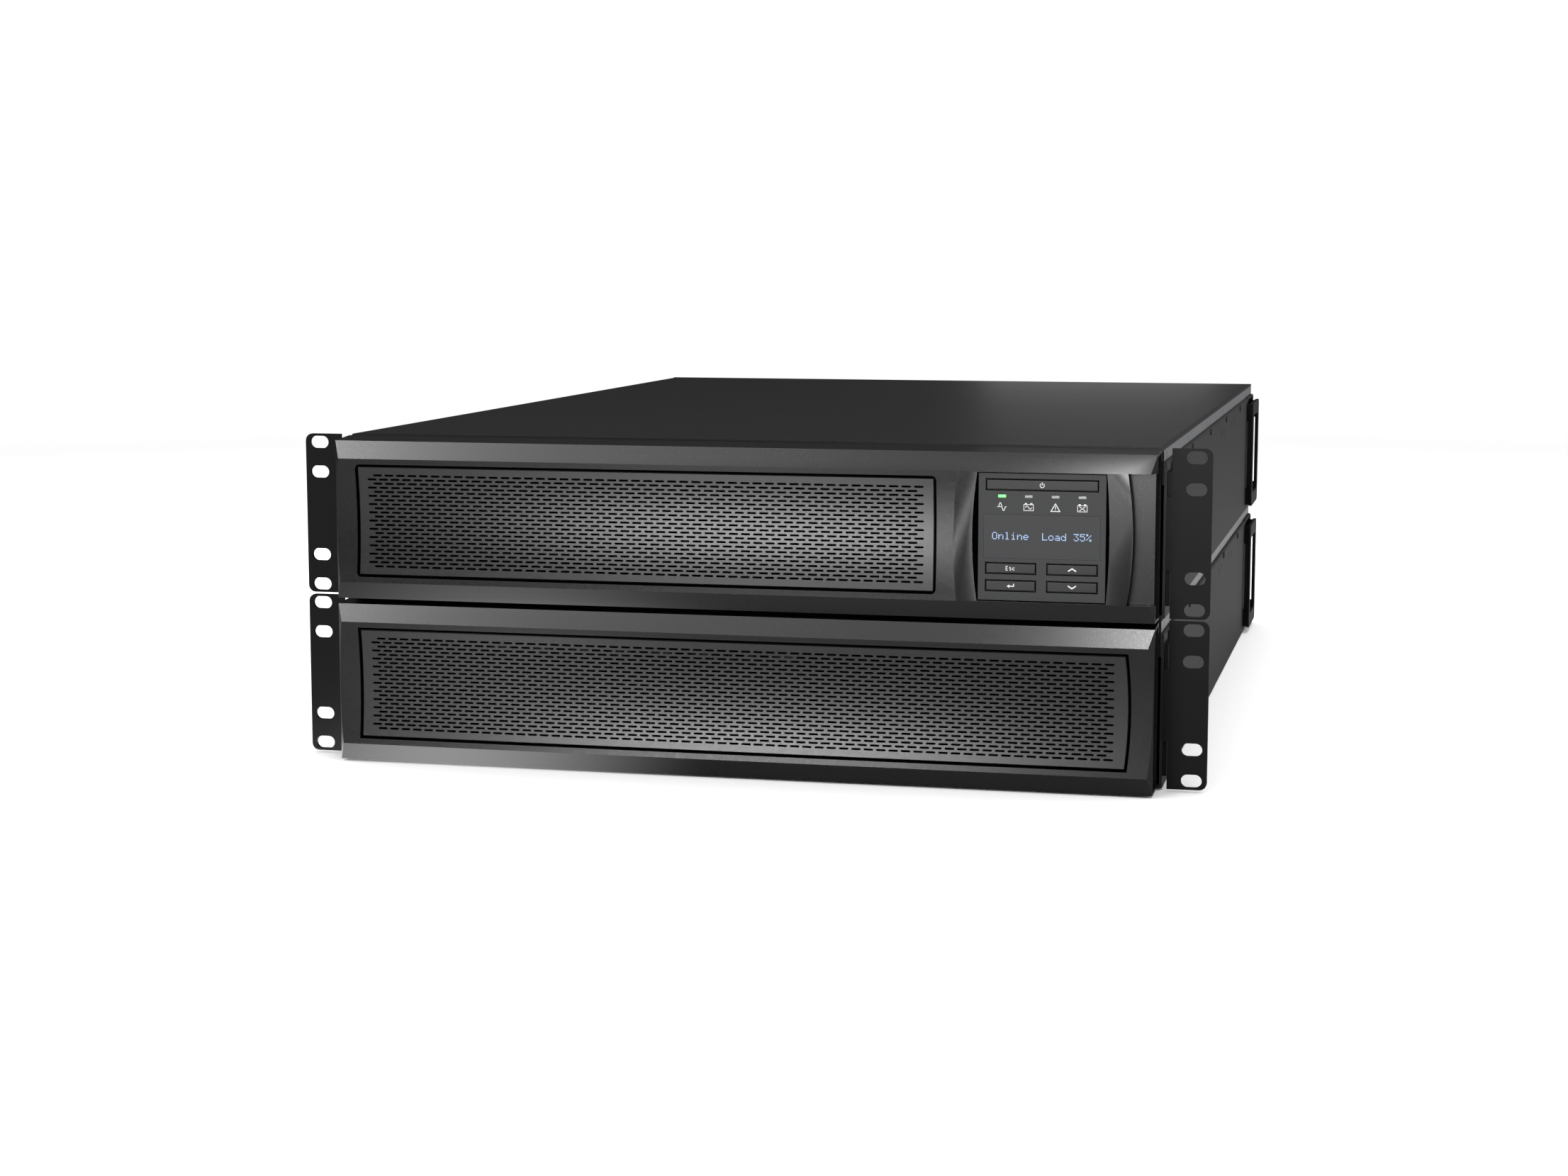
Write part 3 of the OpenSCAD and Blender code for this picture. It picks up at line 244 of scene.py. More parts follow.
def spangled(name, colour):
    """Zinc-plated sheet with its crystal pattern."""
    nodes = Nodes(name, colour, 0.42, 0.9)
    cells = nodes.add("ShaderNodeTexVoronoi", Scale=160.0)
    nodes.join(nodes.place, cells.inputs["Vector"])
    grey = nodes.add("ShaderNodeRGBToBW")
    nodes.join(cells.outputs["Color"], grey.inputs["Color"])
    nodes.vary_colour(grey.outputs["Val"], tint(colour, 0.8), tint(colour, 1.15))
    nodes.vary_roughness(nodes.noise(300.0, 3.0), 0.34, 0.5)
    nodes.bump(nodes.noise(1200.0), 0.02, 0.3)
    return nodes.material


def circuit_board(name):
    """Solder mask over copper traces, with pads."""
    nodes = Nodes(name, (0.012, 0.11, 0.045), 0.35)
    bricks = nodes.add("ShaderNodeTexBrick", Scale=170.0, Mortar_Size=0.035,
                       Color1=(0.010, 0.10, 0.040, 1.0), Color2=(0.014, 0.13, 0.055, 1.0),
                       Mortar=(0.03, 0.20, 0.08, 1.0))
    nodes.join(nodes.place, bricks.inputs["Vector"])
    nodes.join(bricks.outputs["Color"], nodes.shader.inputs["Base Color"])
    nodes.bump(bricks.outputs["Fac"], 0.035)
    return nodes.material


def banded(name, colour, band_mm, direction, metallic, roughness):
    """Stacked layers, such as steel laminations or turns of tape."""
    nodes = Nodes(name, colour, roughness, metallic)
    bands_per_scale = 20.0
    wave = nodes.add("ShaderNodeTexWave", Scale=1.0 / (band_mm * MM) / bands_per_scale, Distortion=0.4)
    wave.bands_direction = direction
    nodes.join(nodes.place, wave.inputs["Vector"])
    nodes.vary_colour(wave.outputs["Fac"], tint(colour, 0.65), tint(colour, 1.15))
    nodes.vary_roughness(nodes.noise(200.0), roughness - 0.08, roughness + 0.1)
    nodes.bump(wave.outputs["Fac"], 0.08)
    return nodes.material


def glowing(name, colour, strength):
    """A lit surface, a little brighter in some places than in others."""
    nodes = Nodes(name, tint(colour, 0.5), 0.4)
    light = nodes.tones(nodes.noise(700.0, 2.0), tint(colour, 0.75), colour)
    nodes.join(light, nodes.shader.inputs["Emission Color"])
    nodes.shader.inputs["Emission Strength"].default_value = strength
    return nodes.material


CASE_BLACK = (0.0065, 0.0066, 0.0070)
DISPLAY_GREY = (0.023, 0.024, 0.026)
BARE_STEEL = (0.45, 0.46, 0.48)
COVER_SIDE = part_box("ups_top_cover")[1].x

BEZEL = grained("bezel_plastic", (0.0046, 0.0047, 0.0050), 0.30, 0.5, 0.004)
GRILLE = grained("grille_plastic", (0.0052, 0.0053, 0.0056), 0.31, 0.5, 0.004, specular=0.8)
FASCIA = grained("display_plastic", DISPLAY_GREY, 0.55, 0.35, 0.006, specular=0.35)
LENS = grained("display_lens", DISPLAY_GREY, 0.50, 0.9, 0.003, specular=0.35, spread=0.02)
SCREEN = grained("screen", (0.02, 0.03, 0.05), 0.25, 0.6, 0.005)
KEYS = grained("key_plastic", (0.0085, 0.0088, 0.0095), 0.42, 0.4, 0.008, specular=0.4)
CASE = grained("black_case", CASE_BLACK, 0.48, 0.55, 0.045, specular=0.4)
# Black paint of the front frames and battery doors, made far darker and duller than the case's black:
# painted shade, so the grille holes look black
INNER_BLACK_AND_SHADE = grained("inner_black_and_painted_shade", (0.0012, 0.0012, 0.0013), 0.75, 0.55, 0.02, specular=0.04)
COVERS = part_coated("cover_steel", CASE_BLACK, 0.48, BARE_STEEL, COVER_SIDE - 0.1 * MM)
EARS = grained("black_ear", (0.0030, 0.0031, 0.0033), 0.45, 0.5, 0.015, specular=0.16)
ZINC = spangled("zinc_sheet", (0.42, 0.43, 0.45))
BLOCKS = grained("battery_case", (0.055, 0.058, 0.066), 0.55, 0.6, 0.03)
CORE = banded("core_steel", (0.10, 0.105, 0.115), 0.5, "Y", 0.8, 0.5)
COIL = banded("coil_tape", (0.40, 0.19, 0.06), 2.5, "Z", 0.0, 0.45)
SINK = brushed("heatsink_metal", (0.55, 0.56, 0.58), 0.38, "y")
SLEEVES = grained("capacitor_sleeve", (0.02, 0.024, 0.035), 0.3, 1.0, 0.006)
FANS = grained("fan_plastic", (0.012, 0.0122, 0.013), 0.42, 0.45, 0.015)
SOCKETS = grained("socket_plastic", (0.010, 0.0102, 0.0106), 0.40, 0.4, 0.012)
RESET = grained("reset_plastic", (0.55, 0.55, 0.53), 0.4, 0.4, 0.008)
CONNECTORS = grained("connector_plastic", (0.16, 0.165, 0.175), 0.45, 0.5, 0.015)
PORTS = brushed("port_metal", (0.50, 0.51, 0.53), 0.32, "x")
SCREWS = brushed("screw_steel", (0.32, 0.33, 0.35), 0.3, "x")
PADS = grained("pad_rubber", (0.008, 0.008, 0.008), 0.85, 0.8, 0.05)
BOARDS = circuit_board("circuit_board")
PRINT = grained("legend_ink", (0.66, 0.66, 0.66), 0.5, 0.2, 0.003)
DARK_LIGHT = grained("status_light", (0.30, 0.31, 0.31), 0.3, 0.3, 0.004)
GREEN_LIGHT = glowing("status_light_on", (0.16, 0.85, 0.20), 1.6)
PIXELS = glowing("screen_pixels", (0.42, 0.60, 0.95), 0.95)


# ------------------------------------------------------------------ CAD nodes

def soften(node, edge_mm):
    """Rounds a CAD node's sharp edges and gives its flat faces clean shading."""
    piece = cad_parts[node]
    weld = piece.modifiers.new("weld", "WELD")
    weld.merge_threshold = 0.004 * MM
    flatten = piece.modifiers.new("flatten", "DECIMATE")
    flatten.decimate_type = "DISSOLVE"
    flatten.angle_limit = math.radians(0.5)
    bevel = piece.modifiers.new("edges", "BEVEL")
    bevel.width = edge_mm * MM
    bevel.segments = 2
    bevel.limit_method = "ANGLE"
    bevel.angle_limit = math.radians(28)
    bevel.use_clamp_overlap = True
    shading = piece.modifiers.new("shading", "WEIGHTED_NORMAL")
    shading.keep_sharp = False
    shading.weight = 80


def paint(material, edge_mm, *nodes):
    """Gives CAD nodes their material and the roundness of their edges."""
    for node in nodes:
        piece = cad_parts[node]
        for slot in piece.material_slots:
            slot.link = "OBJECT"
            slot.material = material
        soften(node, edge_mm)


def units(name):
    """The piece of this name on the power supply and on the battery unit."""
    return ["ups_" + name, "pack_" + name]


def left_and_right(name):
    return [name + "_left", name + "_right"]


paint(BEZEL, 0.35, *units("bezel"))
paint(CASE, 0.2, *units("tray"), *units("rear_panel"), "slot_cover")
paint(COVERS, 0.2, *units("top_cover"))
# painted shade: the frames and doors seen through the grille holes are darkened beyond their black paint
paint(INNER_BLACK_AND_SHADE, 0.15, *units("front_frame"), *units("battery_door"))
paint(ZINC, 0.15, *units("battery_tray"))
for piece_name in units("ear") + units("handle"):
    paint(EARS, 0.25, *left_and_right(piece_name))
paint(FASCIA, 0.05, "display_fascia", "display_housing")
paint(LENS, 0.04, "display_lens")
paint(SCREEN, 0.04, "display_screen")
paint(BOARDS, 0.1, "display_board", "power_board")
paint(KEYS, 0.25, "power_button", "escape_button", "enter_button", "up_button", "down_button")
paint(BLOCKS, 0.4, *units("battery_blocks"))
paint(CONNECTORS, 0.3, "ups_battery_plug", "battery_socket", "pack_sockets")
paint(CORE, 0.1, "transformer_core")
paint(COIL, 0.4, "transformer_coils")
paint(SINK, 0.15, "heatsink")
paint(SLEEVES, 0.3, "capacitors")
paint(FANS, 0.25, *left_and_right("fan_frame"), *left_and_right("fan_rotor"))
paint(SOCKETS, 0.3, "ac_inlet", "outlet_bank", "large_outlet", "breaker_body")
paint(RESET, 0.3, "breaker_button")
paint(PORTS, 0.15, "port_block")
paint(PADS, 0.2, "feet")


# ------------------------------------------------------------------ grilles

GRILLE_LIP = 3.0  # the CAD insert's hidden lip, beyond the part that shows
PACK_GRILLE_BOW = 1.6
PANEL_HOLLOW = 2.7
PANEL_TOP = 10.7  # from a bezel's top down to the panel's upper edge
PANEL_FOOT = 8.9  # from a bezel's foot up to the panel's lower edge
SILL_BACK = 0.4  # the lower edge lies this much behind the upper one
GRILLE_BACK = 0.5  # the insert lies this much behind the panel
FIELD_MARGIN = 2.2  # plain rim between the slots and the insert's sides, at least
HOLE_PITCH = 6.4
ROW_PITCH = 2.18
ROWS = 23
HOLE_LENGTH = 4.95
HOLE_HEIGHT = 1.08
PLATE_DEPTH = 0.6
PLATE_EDGE = 0.45


def panel_depth(bezel):
    """Function that gives the Y of a bezel's hollow front panel at a height, in millimetres."""
    low, high = box_mm(bezel)
    top, foot = high.z - PANEL_TOP, low.z + PANEL_FOOT
    half = (top - foot) / 2
    radius = (half ** 2 + PANEL_HOLLOW ** 2) / (2 * PANEL_HOLLOW)

    def depth(z):
        across = z - (top + foot) / 2
        hollow = math.sqrt(radius ** 2 - across ** 2) - (radius - PANEL_HOLLOW)
        chord = low.y + SILL_BACK * (top - z) / (top - foot)
        return chord + hollow
    return depth


def hole_outline(x, z):
    """Ten points round a slot with round ends, from its right tip anticlockwise."""
    radius = HOLE_HEIGHT / 2
    reach = HOLE_LENGTH / 2 - radius
    right = arc_points((x + reach, z), radius, -90, 90, 4)
    left = arc_points((x - reach, z), radius, 90, 270, 4)
    return right[2:] + left + right[:2]


class Plate:
    """Collects the points and faces of a thin plate that follows the hollow panel."""

    def __init__(self, depth):
        self.depth = depth
        self.points = []
        self.faces = []
        self.index = {}

    def point(self, x, z, layer):
        """layer 0 is the front face and 1 the back face."""
        key = (round(x, 4), round(z, 4), layer)
        if key not in self.index:
            self.index[key] = len(self.points)
            self.points.append((x, self.depth(z) + GRILLE_BACK + layer * PLATE_DEPTH, z))
        return self.index[key]

    def both(self, outline):
        """One flat face on the front and its twin on the back. The outline runs anticlockwise."""
        self.faces.append([self.point(x, z, 0) for x, z in outline])
        self.faces.append([self.point(x, z, 1) for x, z in reversed(outline)])

    def walls(self, outline):
        """Sides between front and back, along a closed outline."""
        for (x0, z0), (x1, z1) in around(outline):
            self.faces.append([self.point(x0, z0, 0), self.point(x0, z0, 1),
                               self.point(x1, z1, 1), self.point(x1, z1, 0)])

    def hole_cell(self, x, z, half_w, half_h):
        """One slot and the web round it. The cell has a point at the middle of each side."""
        ring = hole_outline(x, z)
        right, r_up, top_r, top_l, l_up, left, l_low, low_l, low_r, r_low = ring
        corners = {name: (x + sx * half_w, z + sz * half_h) for name, sx, sz in (
            ("r", 1, 0), ("tr", 1, 1), ("t", 0, 1), ("tl", -1, 1),
            ("l", -1, 0), ("bl", -1, -1), ("b", 0, -1), ("br", 1, -1))}
        for face in (
                [corners["r"], corners["tr"], r_up, right],
                [corners["tr"], corners["t"], top_r, r_up],
                [corners["t"], top_l, top_r],
                [corners["t"], corners["tl"], l_up, top_l],
                [corners["tl"], corners["l"], left, l_up],
                [corners["l"], corners["bl"], l_low, left],
                [corners["bl"], corners["b"], low_l, l_low],
                [corners["b"], low_r, low_l],
                [corners["b"], corners["br"], r_low, low_r],
                [corners["br"], corners["r"], right, r_low]):
            self.both(face)
        self.walls(ring)


def perforated_grille(name, node, bezel, bow):
    """Thin plate with rows of slots, each row half a pitch from the next. Its right edge bows out."""
    low, high = box_mm(node)
    left, bottom, top = low.x + GRILLE_LIP, low.z + GRILLE_LIP, high.z - GRILLE_LIP
    right = high.x - GRILLE_LIP - bow
    middle = (bottom + top) / 2
    radius = ((top - bottom) ** 2 / 4 + bow ** 2) / (2 * bow) if bow else 0.0
    plate = Plate(panel_depth(bezel))

    def right_edge(z):
        return right + (math.sqrt(radius ** 2 - (z - middle) ** 2) - radius + bow if bow else 0.0)

    half_w, half_h = HOLE_PITCH / 2, ROW_PITCH / 2
    columns = int((right - left - 2 * FIELD_MARGIN) / HOLE_PITCH - 0.5)
    field_left = left + (right - left - (columns + 0.5) * HOLE_PITCH) / 2
    field_low = middle - ROWS * half_h
    field_top = field_low + ROWS * ROW_PITCH
    lines_x = [field_left + i * half_w for i in range(2 * columns + 2)]
    first, last = lines_x[0], lines_x[-1]
    edge_low, edge_top, edge_left = bottom + PLATE_EDGE, top - PLATE_EDGE, left + PLATE_EDGE

    def edge_right(z):
        return right_edge(z) - PLATE_EDGE

    for row in range(ROWS):
        z0 = field_low + row * ROW_PITCH
        z1, z = z0 + ROW_PITCH, z0 + half_h
        shift = (row + ROWS) % 2
        for column in range(columns):
            x = field_left + shift * half_w + half_w + column * HOLE_PITCH
            plate.hole_cell(x, z, half_w, half_h)
        # half a cell is left over at the left of a shifted row, and at the right of the others
        x0, x1 = (first, lines_x[1]) if shift else (lines_x[-2], last)
        plate.both([(x0, z0), (x1, z0), (x1, z), (x1, z1), (x0, z1), (x0, z)])
        plate.both([(edge_left, z0), (first, z0), (first, z), (first, z1), (edge_left, z1)])
        plate.both([(last, z0), (edge_right(z0), z0), (edge_right(z1), z1), (last, z1), (last, z)])
    for z0, z1 in ((edge_low, field_low), (field_top, edge_top)):
        for x0, x1 in zip(lines_x, lines_x[1:]):
            plate.both([(x0, z0), (x1, z0), (x1, z1), (x0, z1)])
        plate.both([(edge_left, z0), (first, z0), (first, z1), (edge_left, z1)])
        plate.both([(last, z0), (edge_right(z0), z0), (edge_right(z1), z1), (last, z1)])

    rows_z = [edge_low] + [field_low + i * ROW_PITCH for i in range(ROWS + 1)] + [edge_top]
    rim = ([(x, edge_low) for x in [edge_left] + lines_x]
           + [(edge_right(z), z) for z in rows_z]
           + [(x, edge_top) for x in reversed([edge_left] + lines_x)]
           + [(edge_left, z) for z in reversed(rows_z[1:-1])])
    rim_edge(plate, rim)
    piece = mesh_object(name, plate.points, plate.faces, GRILLE, bezel)
    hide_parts(node)


def rim_edge(plate, rim):
    """Chamfer and outer wall round a plate's outline."""
    outer = []
    for (xa, za), (x, z), (xb, zb) in zip(rim[-1:] + rim[:-1], rim, rim[1:] + rim[:1]):
        before = Vector((x - xa, z - za)).normalized()
        after = Vector((xb - x, zb - z)).normalized()
        normal = Vector((before.y + after.y, -before.x - after.x)).normalized()
        reach = PLATE_EDGE / max(0.5, normal.dot(Vector((before.y, -before.x))))
        outer.append((x + normal.x * reach, z + normal.y * reach))
    start = len(plate.points)
    for (x, z), (xo, zo) in zip(rim, outer):
        y = plate.depth(z) + GRILLE_BACK
        plate.points.append((xo, y + PLATE_EDGE, zo))
        plate.points.append((xo, y + PLATE_DEPTH, zo))
    for i, j in around(range(len(rim))):
        a0, b0 = plate.point(*rim[i], 0), plate.point(*rim[j], 0)
        a3, b3 = plate.point(*rim[i], 1), plate.point(*rim[j], 1)
        a1, a2, b1, b2 = start + 2 * i, start + 2 * i + 1, start + 2 * j, start + 2 * j + 1
        plate.faces += [[a0, a1, b1, b0], [a1, a2, b2, b1], [a2, a3, b3, b2]]


perforated_grille("ups_grille_plate", "ups_grille", "ups_bezel", 0.0)
perforated_grille("pack_grille_plate", "pack_grille", "pack_bezel", PACK_GRILLE_BOW)


# ------------------------------------------------------------------ screws

HEAD_RADIUS = 3.4
HEAD_HEIGHT = 1.2
HEAD_SIDES = 24
# a head's domed side and its cross recess, in shares of the head's radius and height
HEAD_PROFILE = ((1.0, 0.0), (1.0, 0.45), (0.93, 0.75), (0.78, 0.93), (0.6, 1.0))
RECESS_ARM = 0.46
RECESS_HALF = 0.13
RECESS_FLOOR = 0.35
RECESS_TAPER = 0.75
EAR_SCREW_STEP_Y = 20.0
EAR_SCREW_STEP_Z = 36.0
COVER_SCREW_MIDDLE = -20.0


def cross_outline(arm, half):
    """Twelve points of a plus sign."""
    return [(arm, -half), (arm, half), (half, half), (half, arm), (-half, arm), (-half, half),
            (-arm, half), (-arm, -half), (-half, -half), (-half, -arm), (half, -arm), (half, -half)]


def pan_head(bm, centre, outward):
    """Round head with a domed edge and a cross recess. Its foot is at centre, in millimetres."""
    radius, height = HEAD_RADIUS, HEAD_HEIGHT
    outward = Vector(outward)
    across = outward.orthogonal().normalized()
    up = outward.cross(across)

    def at(a, b, h):
        return bm.verts.new((Vector(centre) + across * a + up * b + outward * h) * MM)

    def ring(r, h):
        turns = [2 * math.pi * i / HEAD_SIDES for i in range(HEAD_SIDES)]
        return [at(radius * r * math.cos(turn), radius * r * math.sin(turn), height * h) for turn in turns]

    rings = [ring(r, h) for r, h in HEAD_PROFILE]
    for lower, upper in zip(rings, rings[1:]):
        for (low0, low1), (up0, up1) in zip(around(lower), around(upper)):
            bm.faces.new((low0, low1, up1, up0))
    bm.faces.new(list(reversed(rings[0])))
    cross = cross_outline(radius * RECESS_ARM, radius * RECESS_HALF)
    mouth = [at(a, b, height) for a, b in cross]
    pit = [at(a * RECESS_TAPER, b * RECESS_TAPER, height * RECESS_FLOOR) for a, b in cross]
    top_edges = [bm.edges.get(pair) for pair in around(rings[-1])]
    mouth_edges = [bm.edges.new(pair) for pair in around(mouth)]
    bmesh.ops.triangle_fill(bm, use_beauty=True, use_dissolve=False, edges=top_edges + mouth_edges)
    for (mouth0, mouth1), (pit0, pit1) in zip(around(mouth), around(pit)):
        bm.faces.new((mouth0, mouth1, pit1, pit0))
    bm.faces.new(pit)


def screw_set(name, node, heads):
    """All the heads of one kind as one piece. heads holds each one's foot and outward direction."""
    bm = bmesh.new()
    for centre, outward in heads:
        pan_head(bm, centre, outward)
    bmesh.ops.recalc_face_normals(bm, faces=bm.faces)
    piece = place_mesh(name, mesh_from(name, bm), SCREWS, "chassis")
    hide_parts(node)


ear_low, ear_high = box_mm("ear_screws")
cover_low, cover_high = box_mm("cover_screws")
unit_lift = box_mm("ups_ear_right")[0].z - box_mm("pack_ear_right")[0].z


def ear_screw(side, lift, y, z):
    """Foot and outward direction of a screw on an ear's flange."""
    outer = side * (ear_high.x - HEAD_HEIGHT)
    return (outer, ear_low.y + HEAD_RADIUS + y, ear_low.z + HEAD_RADIUS + z + lift), (side, 0, 0)


def cover_screw(x, lift):
    """Foot and outward direction of a screw at a cover's rear edge."""
    return (x, cover_high.y - HEAD_HEIGHT, cover_low.z + HEAD_RADIUS + lift), (0, 1, 0)


screw_set("ear_screw_heads", "ear_screws", [
    ear_screw(side, lift, y, z)
    for side in (-1, 1) for lift in (0, unit_lift)
    for y in (0, EAR_SCREW_STEP_Y) for z in (0, EAR_SCREW_STEP_Z)])
screw_set("cover_screw_heads", "cover_screws", [
    cover_screw(x, lift)
    for lift in (0, unit_lift)
    for x in (cover_low.x + HEAD_RADIUS, COVER_SCREW_MIDDLE, cover_high.x - HEAD_RADIUS)])


# ------------------------------------------------------------------ display lights

def rounded_bar(name, low, high, corner, material, body):
    """Small block with rounded edges, between two corners in millimetres."""
    bm = bmesh.new()
    bmesh.ops.create_cube(bm, size=1.0)
    for vertex in bm.verts:
        vertex.co = Vector([(low[i] + (vertex.co[i] + 0.5) * (high[i] - low[i])) * MM for i in range(3)])
    bmesh.ops.bevel(bm, geom=bm.edges[:], offset=corner * MM, segments=2, profile=0.5, affect="EDGES")
    return place_mesh(name, mesh_from(name, bm), material, body)


LIGHT_WIDTH = 3.9
LIGHT_PROUD = 0.05
LIGHT_CORNER = 0.2
LIGHT_NAMES = ("online_light", "on_battery_light", "fault_light", "replace_battery_light")
lights_low, lights_high = box_mm("status_lights")
light_step = (lights_high.x - lights_low.x - LIGHT_WIDTH) / 3


def status_lamp(number, name):
    """One of the four lights in their row. The first one is lit."""
    x = lights_low.x + number * light_step
    low = (x, lights_low.y - LIGHT_PROUD, lights_low.z)
    high = (x + LIGHT_WIDTH, lights_high.y, lights_high.z)
    lamp = rounded_bar(name, low, high, LIGHT_CORNER, DARK_LIGHT if number else GREEN_LIGHT, "display")
    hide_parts("status_lights")


for lamp_number, lamp_name in enumerate(LIGHT_NAMES):
    status_lamp(lamp_number, lamp_name)


# ------------------------------------------------------------------ printed signs

INK_PROUD = 0.04
INK_SUNK = 0.03
LEAST_MITRE = 0.45  # keeps a sharp corner's point short
ICON_DROP = 4.55  # from the foot of the lights down to the middle of the icons
FRAME_LINE = 0.28
FINE_LINE = 0.34
CURVE_LINE = 0.36
MARK_LINE = 0.38
TRIANGLE_LINE = 0.4
ENTER_LINE = 0.46
ARROW_LINE = 0.62
LETTER_LINE = 0.3


class Signs:
    """Thin raised strokes on a face that looks along -Y. Places are in millimetres from a centre."""

    def __init__(self, x, y, z):
        self.x, self.y, self.z = x, y, z
        self.points, self.faces = [], []

    def prism(self, outline):
        """Raised patch with a convex outline, anticlockwise as seen from the front."""
        start, count = len(self.points), len(outline)
        for y in (self.y - INK_PROUD, self.y + INK_SUNK):
            self.points += [(self.x + u, y, self.z + v) for u, v in outline]
        self.faces.append([start + i for i in range(count)])
        self.faces.append([start + count + i for i in reversed(range(count))])
        for i, j in around(range(count)):
            self.faces.append([start + i, start + count + i, start + count + j, start + j])

    def stroke(self, path, width, closed=False):
        """Line of constant width along points, with mitred corners."""
        path = [Vector(p) for p in path]
        count = len(path)
        sides = []
        for i, p in enumerate(path):
            before = path[i - 1] if (closed or i) else None
            after = path[(i + 1) % count] if (closed or i < count - 1) else None
            a = (p - before).normalized() if before is not None else (after - p).normalized()
            b = (after - p).normalized() if after is not None else a
            normal = Vector((-a.y - b.y, a.x + b.x)).normalized()
            reach = width / 2 / max(LEAST_MITRE, normal.dot(Vector((-a.y, a.x))))
            sides.append((p + normal * reach, p - normal * reach))
        spans = around(sides)
        for (left0, right0), (left1, right1) in spans if closed else spans[:-1]:
            self.prism([tuple(right0), tuple(right1), tuple(left1), tuple(left0)])

    def make(self, name, material, body, slot):
        piece = mesh_object(name, self.points, self.faces, material, body)
        return piece


def sine(width, height, count=20):
    """One full wave, centred."""
    return [(width * (i / count - 0.5), height / 2 * math.sin(2 * math.pi * i / count))
            for i in range(count + 1)]


def moved(path, dx, dz):
    return [(x + dx, z + dz) for x, z in path]


BATTERY_HALF_WIDTH = 2.35
BATTERY_HALF_HEIGHT = 1.5
BATTERY_DROP = -0.2  # the battery's middle lies a little under the icons' middle
TERMINAL_X = 1.35
TERMINAL_HALF = 0.55
TERMINAL_RISE = 0.45  # from the battery's top line up to a terminal's middle
TERMINAL_LINE = 0.6


def battery_frame(signs, x):
    """Outline of a battery with its two terminals."""
    w, h = BATTERY_HALF_WIDTH, BATTERY_HALF_HEIGHT
    signs.stroke(moved([(-w, -h), (w, -h), (w, h), (-w, h)], x, BATTERY_DROP), FRAME_LINE, closed=True)
    for side in (-1, 1):
        middle, rise = side * TERMINAL_X, h + TERMINAL_RISE
        terminal = [(middle - TERMINAL_HALF, rise), (middle + TERMINAL_HALF, rise)]
        signs.stroke(moved(terminal, x, BATTERY_DROP), TERMINAL_LINE)


def online_icon(signs, x):
    """A wave over a broken line."""
    signs.stroke(moved(sine(3.3, 3.9), x, 0), CURVE_LINE)
    signs.stroke(moved([(-2.35, 0), (0.0, 0)], x, 0), FINE_LINE)
    signs.stroke(moved([(1.65, 0), (2.35, 0)], x, 0), FINE_LINE)


def on_battery_icon(signs, x):
    """A battery with a wave inside."""
    battery_frame(signs, x)
    signs.stroke(moved(sine(3.2, 1.5), x, BATTERY_DROP), FINE_LINE)


def fault_icon(signs, x):
    """A triangle round an exclamation mark."""
    signs.stroke(moved([(-2.2, -1.8), (2.2, -1.8), (0, 1.95)], x, 0), TRIANGLE_LINE, closed=True)
    signs.stroke(moved([(0, -0.55), (0, 0.75)], x, 0), MARK_LINE)
    signs.stroke(moved([(0, -1.2), (0, -0.85)], x, 0), MARK_LINE)


def replace_battery_icon(signs, x):
    """A battery that is crossed out."""
    battery_frame(signs, x)
    for slope in (-1, 1):
        signs.stroke(moved([(-1.5, -1.1 * slope), (1.5, 1.1 * slope)], x, BATTERY_DROP), FINE_LINE)


fascia_low, fascia_high = box_mm("display_fascia")
fascia_x = (fascia_low.x + fascia_high.x) / 2
icons = Signs(fascia_x, fascia_low.y, lights_low.z - ICON_DROP)
for number, draw_icon in enumerate((online_icon, on_battery_icon, fault_icon, replace_battery_icon)):
    draw_icon(icons, (number - 1.5) * light_step)
icons.make("status_icons", PRINT, "display", "status_light")


def key_signs(key):
    """Signs centred on a key's front face."""
    low, high = box_mm(key)
    return Signs((low.x + high.x) / 2, low.y, (low.z + high.z) / 2)


power_sign = key_signs("power_button")
power_sign.stroke(arc_points((0, -0.15), 1.05, 125, 415, 22), CURVE_LINE)
power_sign.stroke([(0, -0.1), (0, 1.35)], CURVE_LINE)
power_sign.make("power_sign", PRINT, "power_button", "key_plastic")

for direction, rise in (("up", 1), ("down", -1)):
    key_name = direction + "_button"
    arrow_sign = key_signs(key_name)
    arrow_sign.stroke([(-2.0, -0.75 * rise), (0, 0.6 * rise), (2.0, -0.75 * rise)], ARROW_LINE)
    arrow_sign.make(direction + "_sign", PRINT, key_name, "key_plastic")

enter_sign = key_signs("enter_button")
enter_sign.stroke([(1.6, 1.05), (1.6, -0.25), (-0.6, -0.25)], ENTER_LINE)
enter_sign.prism([(-1.9, -0.25), (-0.5, -1.1), (-0.5, 0.6)])
enter_sign.make("enter_sign", PRINT, "enter_button", "key_plastic")

escape_sign = key_signs("escape_button")
escape_sign.stroke([(-1.35, 0.95), (-2.3, 0.95), (-2.3, -0.95), (-1.35, -0.95)], LETTER_LINE)
escape_sign.stroke([(-2.3, 0.0), (-1.5, 0.0)], LETTER_LINE)
letter_s = arc_points((0, 0.32), 0.36, 30, 250, 8) + arc_points((0.05, -0.42), 0.38, 80, -150, 8)
escape_sign.stroke(moved(letter_s, -0.15, -0.12), LETTER_LINE)
escape_sign.stroke(arc_points((1.6, -0.25), 0.6, 50, 310, 12), LETTER_LINE)
escape_sign.make("escape_sign", PRINT, "escape_button", "key_plastic")


# ------------------------------------------------------------------ screen text

